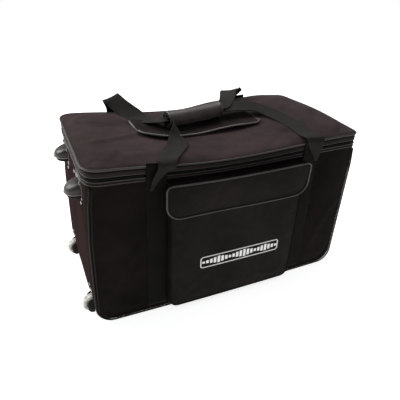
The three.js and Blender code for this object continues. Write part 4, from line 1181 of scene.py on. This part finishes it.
# bridge over the pocket's mouth
xs = np.linspace(-188, 188, 60)
prof = [(-188.5, 387.2), (-200, 386.4), (-212, 386.6), (-216.6, 387.4), (-217.0, 389.0), (-214, 390.2), (-200, 390.4), (-188.5, 390.0)]
q = len(prof)
V = [(x, y, z + 0.5 * math.sin(x / 21.0)) for x in xs for (y, z) in prof]
F = [(i * q + j, i * q + (j + 1) % q, (i + 1) * q + (j + 1) % q, (i + 1) * q + j) for i in range(len(xs) - 1) for j in range(q)]
F += [tuple(range(q)), tuple((len(xs) - 1) * q + j for j in reversed(range(q)))]
ride(mk("pocket_top_bridge", V, F, M_SIDE), "bag", ("pocket_flap_bridge",))

# flap binding: one glossy bound edge round the flap
def loop_path(x1, z0, z1, rb, rt):
    L = []
    for cx, cz, a0, r in ((x1 - rt, z1 - rt, 0, rt), (-x1 + rt, z1 - rt, 90, rt), (-x1 + rb, z0 + rb, 180, rb), (x1 - rb, z0 + rb, 270, rb)):
        L += [(cx + r * math.cos(math.radians(a0 + a)), cz + r * math.sin(math.radians(a0 + a))) for a in np.linspace(0, 90, 10)]
        if a0 == 0:
            L += [(x, z1) for x in np.linspace(x1 - rt, -x1 + rt, 34)[1:-1]]
        if a0 == 90:
            L += [(-x1, z) for z in np.linspace(z1 - rt, z0 + rb, 5)[1:-1]]
        if a0 == 180:
            L += [(x, z0) for x in np.linspace(-x1 + rb, x1 - rb, 30)[1:-1]]
        if a0 == 270:
            L += [(x1, z) for z in np.linspace(z0 + rb, z1 - rt, 5)[1:-1]]
    return np.array(L)


LP = loop_path(FLAP_X + 0.6, FLAP_Z0 - 0.6, FLAP_Z1 + 0.2, 38, 13)
P = np.array([(x, -218.8 - 1.2 * math.sin(x / 47.0) * float(sm((380 - z) / 70)), z) for x, z in LP])
ob = tube("flap_edge_binding", P, 2.4, M_FLAPBIND, n=10, step=5.0, closed=True, ry=2.4)
ride(ob, "pocket_flap", ("flap_binding",))
LP2 = loop_path(FLAP_X - 5.0, FLAP_Z0 + 5.0, FLAP_Z1 - 6, 33, 9)
P = np.array([(x, -221.1 - 1.2 * math.sin(x / 47.0) * float(sm((380 - z) / 70)), z) for x, z in LP2])
ride(stitches("flap_stitching", [(P, (0, -1, 0))], pitch=4.2), "pocket_flap")

# generic label: level bars of our own
Pz = (128 + 164) / 2
bars = []
V, F = [], []


def chip(x0, x1, z0, z1, y0, y1, c):
    """Small raised tile with chamfered rim."""
    b = len(V)
    for (y, k) in ((y0, 0.0), (y1 + 0.25, 0.0), (y1, c)):
        for (x, z) in ((x0 + k, z0 + k), (x1 - k, z0 + k), (x1 - k, z1 - k), (x0 + k, z1 - k)):
            V.append((x, y, z))
    for r in range(2):
        for j in range(4):
            k2 = (j + 1) % 4
            F.append((b + r * 4 + j, b + r * 4 + k2, b + (r + 1) * 4 + k2, b + (r + 1) * 4 + j))
    F.append((b, b + 3, b + 2, b + 1))
    F.append((b + 8, b + 9, b + 10, b + 11))


heights = [6, 9, 13, 17, 21, 17, 12, 8, 11, 16, 20, 23, 19, 14, 9, 12, 17, 21, 16, 11, 7]
x = -101.0
for hh in heights:
    chip(x, x + 7.4, Pz - hh / 2, Pz + hh / 2, -215.2, -216.6, 0.35)
    x += 11.0
PB = [(V_[0], V_[1] - 0.9, V_[2]) for V_ in V]
ride(mk("badge_bars", PB, F, M_BARS, shade=False), "bag")
P = np.array([(12.0 + a_, -216.6, z_) for a_, z_ in loop_path(117, 129.4, 162.6, 6, 6)])
ride(tube("badge_frame_cord", P, 1.45, M_BARS, n=8, step=4.0, closed=True), "bag")
bx = loop_path(112, 130, 162, 5, 5)
cx_ = 12.0
V = [(cx_ + a, y, z) for y, g in ((-213.2, 0), (-215.6, 0), (-215.9, 1)) for a, z in [(aa * (1 - 0.006 * g), 146 + (zz - 146) * (1 - 0.04 * g)) for aa, zz in bx]]
q = len(bx)
F = [(r * q + j, r * q + (j + 1) % q, (r + 1) * q + (j + 1) % q, (r + 1) * q + j) for r in range(2) for j in range(q)]
F += [tuple(range(q)), tuple(2 * q + j for j in reversed(range(q)))]
ride(mk("badge_patch_cloth", V, F, M_BADGE), "bag", ("badge_patch",))

# ================================================================== wheels
def lathe_y(name, profile, cx, cy, cz, mat, seg=72):
    V, F = [], []
    q = len(profile)
    for i in range(seg):
        a = 2 * PI * i / seg
        for (r, y) in profile:
            V.append((cx + r * math.cos(a), cy + y, cz + r * math.sin(a)))
    for i in range(seg):
        i2 = (i + 1) % seg
        for j in range(q):
            k = (j + 1) % q
            F.append((i * q + j, i * q + k, i2 * q + k, i2 * q + j))
    return mk(name, V, F, mat, D=False)


def fillet(profile, r=0.5, n=3):
    """Rounds each corner of a closed (radius, y) profile."""
    P = np.array(profile, float)
    out = []
    for i in range(len(P)):
        a, b, c = P[i - 1], P[i], P[(i + 1) % len(P)]
        d0, d1 = a - b, c - b
        l0, l1 = np.linalg.norm(d0), np.linalg.norm(d1)
        k = min(r, l0 * 0.45, l1 * 0.45)
        p, q2 = b + d0 / l0 * k, b + d1 / l1 * k
        for t in np.linspace(0, 1, n):
            out.append(tuple((1 - t) ** 2 * p + 2 * t * (1 - t) * b + t * t * q2))
    return out


H = 10.0
tyre = fillet([(16.4, -H + 1), (21.5, -H), (24.0, -H + 2), (24.9, -H + 6), (24.9, -2.2), (24.1, -1.2), (24.1, 1.2), (24.9, 2.2), (24.9, H - 6), (24.0, H - 2), (21.5, H), (16.4, H - 1)], 0.8, 4)
hub = fillet([(3.4, -H + 0.3), (7, -H + 0.3), (8, -H + 4), (12.8, -H + 4), (13.8, -H + 0.8), (16.1, -H + 0.8), (16.1, H - 0.8), (13.8, H - 0.8), (12.8, H - 4), (8, H - 4), (7, H - 0.3), (3.4, H - 0.3)], 0.5, 3)
for cy, b in ((-130.0, "front"), (130.0, "rear")):
    ride(lathe_y(f"tyre_{b}", tyre, -374, cy, 25.5, M_TYRE), f"wheel_{b}", (f"wheel_{b}_tyre",))
    ride(lathe_y(f"hub_{b}", hub, -374, cy, 25.5, M_HUB), f"wheel_{b}", (f"wheel_{b}_hub",))
    # spokes between hub boss and rim, so the turning shows
    V, F = [], []
    for i in range(5):
        a = 2 * PI * i / 5
        ca, sa = math.cos(a), math.sin(a)
        for r0, r1 in ((7.0, 14.2),):
            for (ry_, wid) in ((-9.3, 1.1), (9.3, 1.1)):
                pass
        b0 = len(V)
        for r in (6.6, 10.5, 14.4):
            for (yy, wd_) in ((-8.6, 1.0), (-9.2, 0.5), (9.2, 0.5), (8.6, 1.0)):
                for sgn in ((1,) if False else (-1, 1)):
                    V.append((-374 + r * ca - sgn * wd_ * sa, cy + yy, 25.5 + r * sa + sgn * wd_ * ca))
        ring_order = [0, 1, 3, 5, 7, 6, 4, 2]
        for rr_ in range(2):
            for j in range(8):
                k = (j + 1) % 8
                F.append((b0 + rr_ * 8 + ring_order[j], b0 + rr_ * 8 + ring_order[k], b0 + (rr_ + 1) * 8 + ring_order[k], b0 + (rr_ + 1) * 8 + ring_order[j]))
        F.append(tuple(b0 + j for j in ring_order))
        F.append(tuple(b0 + 16 + j for j in reversed(ring_order)))
    ride(mk(f"spokes_{b}", V, F, M_HUB, D=False, shade=False), f"wheel_{b}")

for cy, b in ((-130.0, "front"), (130.0, "rear")):
    for sgn_, side_ in ((-1, "outer"), (1, "inner")):
        prof_ = [(-370.6, 6.5), (-376, 6.0), (-381.5, 8.2), (-385.6, 13.0), (-387.4, 19.5), (-387.6, 27.0), (-386.0, 34.5), (-382.5, 41.5), (-377.5, 46.5), (-370.6, 48.5)]
        q = len(prof_)
        y1_, y2_ = cy + sgn_ * 16.35, cy + sgn_ * 18.4
        V = [(x, y1_, z) for x, z in prof_] + [(x, y2_, z) for x, z in prof_] + [(-370.6 + (x + 370.6) * 0.86, cy + sgn_ * 19.6, 27 + (z - 27) * 0.86) for x, z in prof_]
        F = [(r_ * q + j, r_ * q + (j + 1) % q, (r_ + 1) * q + (j + 1) % q, (r_ + 1) * q + j) for r_ in range(2) for j in range(q)]
        F += [tuple(range(q)), tuple(2 * q + j for j in reversed(range(q)))]
        ride(mk(f"wheel_cheek_{b}_{side_}", V, F, M_CORE_PAINTED_SHADE, D=False), "bag")

# ================================================================== tow handle
st = [(374.6, 118), (374.6, 165), (382.5, 178), (395.5, 188), (400, 205), (400.6, 235), (400, 265), (395.5, 282), (382.5, 292), (374.6, 305), (374.6, 352)]
ob, fr = ribbon("tow_handle_web", [(x_, 0, z_, 0, 1, 0, 44) for x_, z_ in st], M_WEB, thick=3.6, step=4.0)
ride(ob, "bag", ("tow_handle",))
rows = []
for nm, z0 in (("lower", 112.0), ("upper", 298.0)):
    us = lines(-33, 33, 4.0)
    vs = lines(z0, z0 + 60, 4.0)
    U0, V0 = np.meshgrid(us, vs, indexing="ij")
    dd = rim_dist(U0, V0, (-33, 33, z0, z0 + 60), (0, 0, 0, 0))
    t_ = 2.1 - 0.9 * np.exp(-dd / 1.2)
    top = np.stack([370.2 + t_, U0, V0], -1).reshape(-1, 3)
    bot = np.stack([np.full_like(U0, 370.2), U0, V0], -1).reshape(-1, 3)
    nu, nv = U0.shape
    F = []
    for i in range(nu - 1):
        for j in range(nv - 1):
            a, b_, c, d_ = i * nv + j, (i + 1) * nv + j, (i + 1) * nv + j + 1, i * nv + j + 1
            F.append((a, b_, c, d_))
            F.append((nu * nv + a, nu * nv + d_, nu * nv + c, nu * nv + b_))
    rim = [i * nv for i in range(nu)] + [(nu - 1) * nv + j for j in range(1, nv)] + [i * nv + nv - 1 for i in range(nu - 2, -1, -1)] + [j for j in range(nv - 2, 0, -1)]
    for a, b_ in zip(rim, rim[1:] + rim[:1]):
        F.append((a, nu * nv + a, nu * nv + b_, b_))
    uvp = np.concatenate([np.stack([U0 / 10, V0 / 10], -1).reshape(-1, 2)] * 2)
    # the patches take the darker webbing copy, painted shade
    ob = mk(f"tow_patch_{nm}", np.vstack([top, bot]), F, M_WEB_PAINTED_SHADE, uv=uvp)
    ride(ob, "bag", (f"tow_handle_patch_{nm}",))
    for a in ((-29, z0 + 4, 29, z0 + 4), (29, z0 + 4, 29, z0 + 56), (29, z0 + 56, -29, z0 + 56), (-29, z0 + 56, -29, z0 + 4)):
        rows.append((np.array([(372.5, a[0], a[1]), (372.5, a[2], a[3])]), (1, 0, 0)))
    zz0 = 120 if nm == "lower" else 308
    for a in ((-18, zz0, 18, zz0), (18, zz0, 18, zz0 + 40), (18, zz0 + 40, -18, zz0 + 40), (-18, zz0 + 40, -18, zz0), (-18, zz0, 18, zz0 + 40), (18, zz0, -18, zz0 + 40)):
        rows.append((np.array([(376.6, a[0], a[1]), (376.6, a[2], a[3])]), (1, 0, 0)))
ride(stitches("tow_stitching", rows, pitch=3.6, length=2.4), "bag")

# ================================================================== stand feet
def foot_ring(cy, z, k, kw=1.0, n=29):
    """One D-shaped level of the foot, nose away from the wall. The whole foot is set between its own two heights."""
    out = []
    lo_, hi_ = (337.0, 374.0) if cy < 0 else (344.0, 379.5)
    z = lo_ + (z - 331.2) / (381.5 - 331.2) * (hi_ - lo_)
    k = k * (1.09 if cy < 0 else 1.02)
    for i in range(n):
        a = PI * i / (n - 1)
        y = -math.cos(a)
        o = math.sin(a) ** 0.72
        out.append((-370.6 - 33.0 * k * o, cy + 27.0 * kw * y, z))
    out.append((-369.6, cy + 27.0 * kw, z))
    out.append((-369.6, cy - 27.0 * kw, z))
    return out


def loft(name, rings, mat, shade=True):
    q = len(rings[0])
    V = [p for r_ in rings for p in r_]
    F = [(i * q + j, i * q + (j + 1) % q, (i + 1) * q + (j + 1) % q, (i + 1) * q + j) for i in range(len(rings) - 1) for j in range(q)]
    F += [tuple(range(q)), tuple((len(rings) - 1) * q + j for j in reversed(range(q)))]
    return mk(name, V, F, mat, D=False, shade=shade)


for b, cy in (("front", -98.0), ("rear", 98.0)):
    top = [(381.5, 0.10, 0.62), (380.2, 0.26, 0.74), (377.5, 0.45, 0.84), (373.5, 0.65, 0.92), (369, 0.80, 0.97), (364.5, 0.91, 0.99), (360, 0.965, 1.0), (355, 0.985, 1.0),
           (351, 0.99, 1.0), (348.6, 0.995, 1.0), (347.2, 0.97, 0.99), (346.6, 0.90, 0.95)]
    ob = loft(f"foot_shell_{b}", [foot_ring(cy, z, k, kw) for z, k, kw in top], M_FOOT)
    ride(ob, "bag", (f"stand_foot_{b}",))
    # the narrower lower part in near-black plastic stands for the foot's shaded hollow, painted shade
    low = [(347.4, 0.80, 0.88), (345.5, 0.84, 0.90), (341, 0.87, 0.90), (336, 0.87, 0.90), (332.6, 0.84, 0.88), (331.2, 0.78, 0.84)]
    core = loft(f"foot_core_{b}", [foot_ring(cy, z, k, kw) for z, k, kw in low], M_CORE_PAINTED_SHADE)
    ride(core, "bag")
    P = np.array(foot_ring(cy, 347.3, 0.985, 1.0)[:29])
    # a pale bead along the rim, painted highlight of the foot's edge
    ride(tube(f"foot_rim_{b}", P, 1.5, M_RIM_PAINTED_HIGHLIGHT, n=8, step=2.5, D=False, hint=(0, 0, 1)), "bag")
    # backing flange, rounded
    us, vs = lines(-39, 39, 3.0, (-30, 30)), lines(325.5, 388.5, 3.0, (334.5, 379.5))
    U0, V0 = np.meshgrid(us, vs, indexing="ij")
    U1, V1 = warp(U0, V0, (-39, 39, 325.5, 388.5), (9, 9, 9, 9))
    dd = rim_dist(U1, V1, (-39, 39, 325.5, 388.5), (9, 9, 9, 9))
    front = np.stack([-370.3 - 2.2 + 1.3 * np.exp(-dd / 0.9), cy + U1, V1], -1).reshape(-1, 3)
    back = np.stack([np.full_like(U1, -370.1), cy + U1, V1], -1).reshape(-1, 3)
    nu, nv = U0.shape
    F = []
    for i in range(nu - 1):
        for j in range(nv - 1):
            a_, b_, c_, d_ = i * nv + j, (i + 1) * nv + j, (i + 1) * nv + j + 1, i * nv + j + 1
            F += [(a_, b_, c_, d_), (nu * nv + a_, nu * nv + d_, nu * nv + c_, nu * nv + b_)]
    rim = [i * nv for i in range(nu)] + [(nu - 1) * nv + j for j in range(1, nv)] + [i * nv + nv - 1 for i in range(nu - 2, -1, -1)] + [j for j in range(nv - 2, 0, -1)]
    for a_, b_ in zip(rim, rim[1:] + rim[:1]):
        F.append((a_, nu * nv + a_, nu * nv + b_, b_))
    ride(mk(f"foot_flange_{b}", np.vstack([front, back]), F, M_PLASTIC, D=False), "bag")

# ================================================================== carried-over CAD nodes
def finish_node(node, mat, bevel=0.0006, segs=3):
    o = NODES[node]
    o.data.materials.clear()
    o.data.materials.append(mat)
    o.data.polygons.foreach_set("use_smooth", [True] * len(o.data.polygons))
    wn_ = o.modifiers.new("weld", "WELD")
    wn_.merge_threshold = 0.00001
    b = o.modifiers.new("bevel", "BEVEL")
    b.width = bevel
    b.segments = segs
    b.limit_method = "ANGLE"
    b.angle_limit = math.radians(28)
    b.harden_normals = False
    b.use_clamp_overlap = True
    n_ = o.modifiers.new("normals", "WEIGHTED_NORMAL")
    n_.keep_sharp = False


for b in ("front", "rear"):
    finish_node(f"wheel_housing_{b}", M_PLASTIC, 0.0009)
    finish_node(f"foot_rivets_{b}", M_STEEL, 0.0005)
    finish_node(f"housing_rivets_{b}", M_STEEL, 0.0005)
    finish_node(f"axle_{b}", M_STEEL, 0.0005)
    finish_node(f"zip_slider_{b}", M_ZIPMETAL, 0.0005)
    finish_node(f"zip_pull_{b}", M_ZIPMETAL, 0.0004)
finish_node("base_board", M_BOARD, 0.0012)
finish_node("wheel_end_board", M_BOARD, 0.0010)
finish_node("pocket_loop_tape", M_HOOK, 0.0003)
finish_node("flap_hook_tape", M_HOOK, 0.0003)

# ================================================================== stage
fl_me = bpy.data.meshes.new("floor")
g = 6.0
fl_me.from_pydata([(-g, -g, -0.0015), (g, -g, -0.0015), (g, g, -0.0015), (-g, g, -0.0015)], [], [(0, 1, 2, 3)])
floor = bpy.data.objects.new("floor", fl_me)
bpy.context.scene.collection.objects.link(floor)
fm, fnt, fb = _new_mat("floor_paper")
fb.inputs["Base Color"].default_value = (0.9, 0.9, 0.9, 1)
fb.inputs["Roughness"].default_value = 0.95
fb.inputs["Specular IOR Level"].default_value = 0.0
fb.inputs["Emission Color"].default_value = (1, 1, 1, 1)
fb.inputs["Emission Strength"].default_value = 0.8
fl_me.materials.append(fm)

world = bpy.data.worlds.new("studio")
bpy.context.scene.world = world
world.use_nodes = True
bg = world.node_tree.nodes["Background"]
bg.inputs["Color"].default_value = (1.0, 1.0, 1.0, 1)
bg.inputs["Strength"].default_value = 1.0
wnt = world.node_tree
bg2 = wnt.nodes.new("ShaderNodeBackground")
bg2.inputs["Color"].default_value = (0.97, 0.98, 1.0, 1)
bg2.inputs["Strength"].default_value = 0.36
lp = wnt.nodes.new("ShaderNodeLightPath")
ms = wnt.nodes.new("ShaderNodeMixShader")
wnt.links.new(lp.outputs["Is Camera Ray"], ms.inputs[0])
wnt.links.new(bg2.outputs[0], ms.inputs[1])
wnt.links.new(bg.outputs[0], ms.inputs[2])
wnt.links.new(ms.outputs[0], wnt.nodes["World Output"].inputs[0])


def area(name, loc, target, size, power, color=(1, 1, 1)):
    L = bpy.data.lights.new(name, "AREA")
    L.shape = "RECTANGLE"
    L.size, L.size_y = size
    L.energy = power
    L.color = color
    o = bpy.data.objects.new(name, L)
    bpy.context.scene.collection.objects.link(o)
    o.location = loc
    o.rotation_euler = (Vector(target) - Vector(loc)).to_track_quat("-Z", "Y").to_euler()
    return o


area("key", (-1.5, 0.9, 1.5), (0, 0, 0.35), (0.9, 0.9), 36, (1.0, 0.985, 0.97))
area("top", (0.5, 0.8, 2.0), (0, 0, 0.4), (1.2, 0.8), 18)
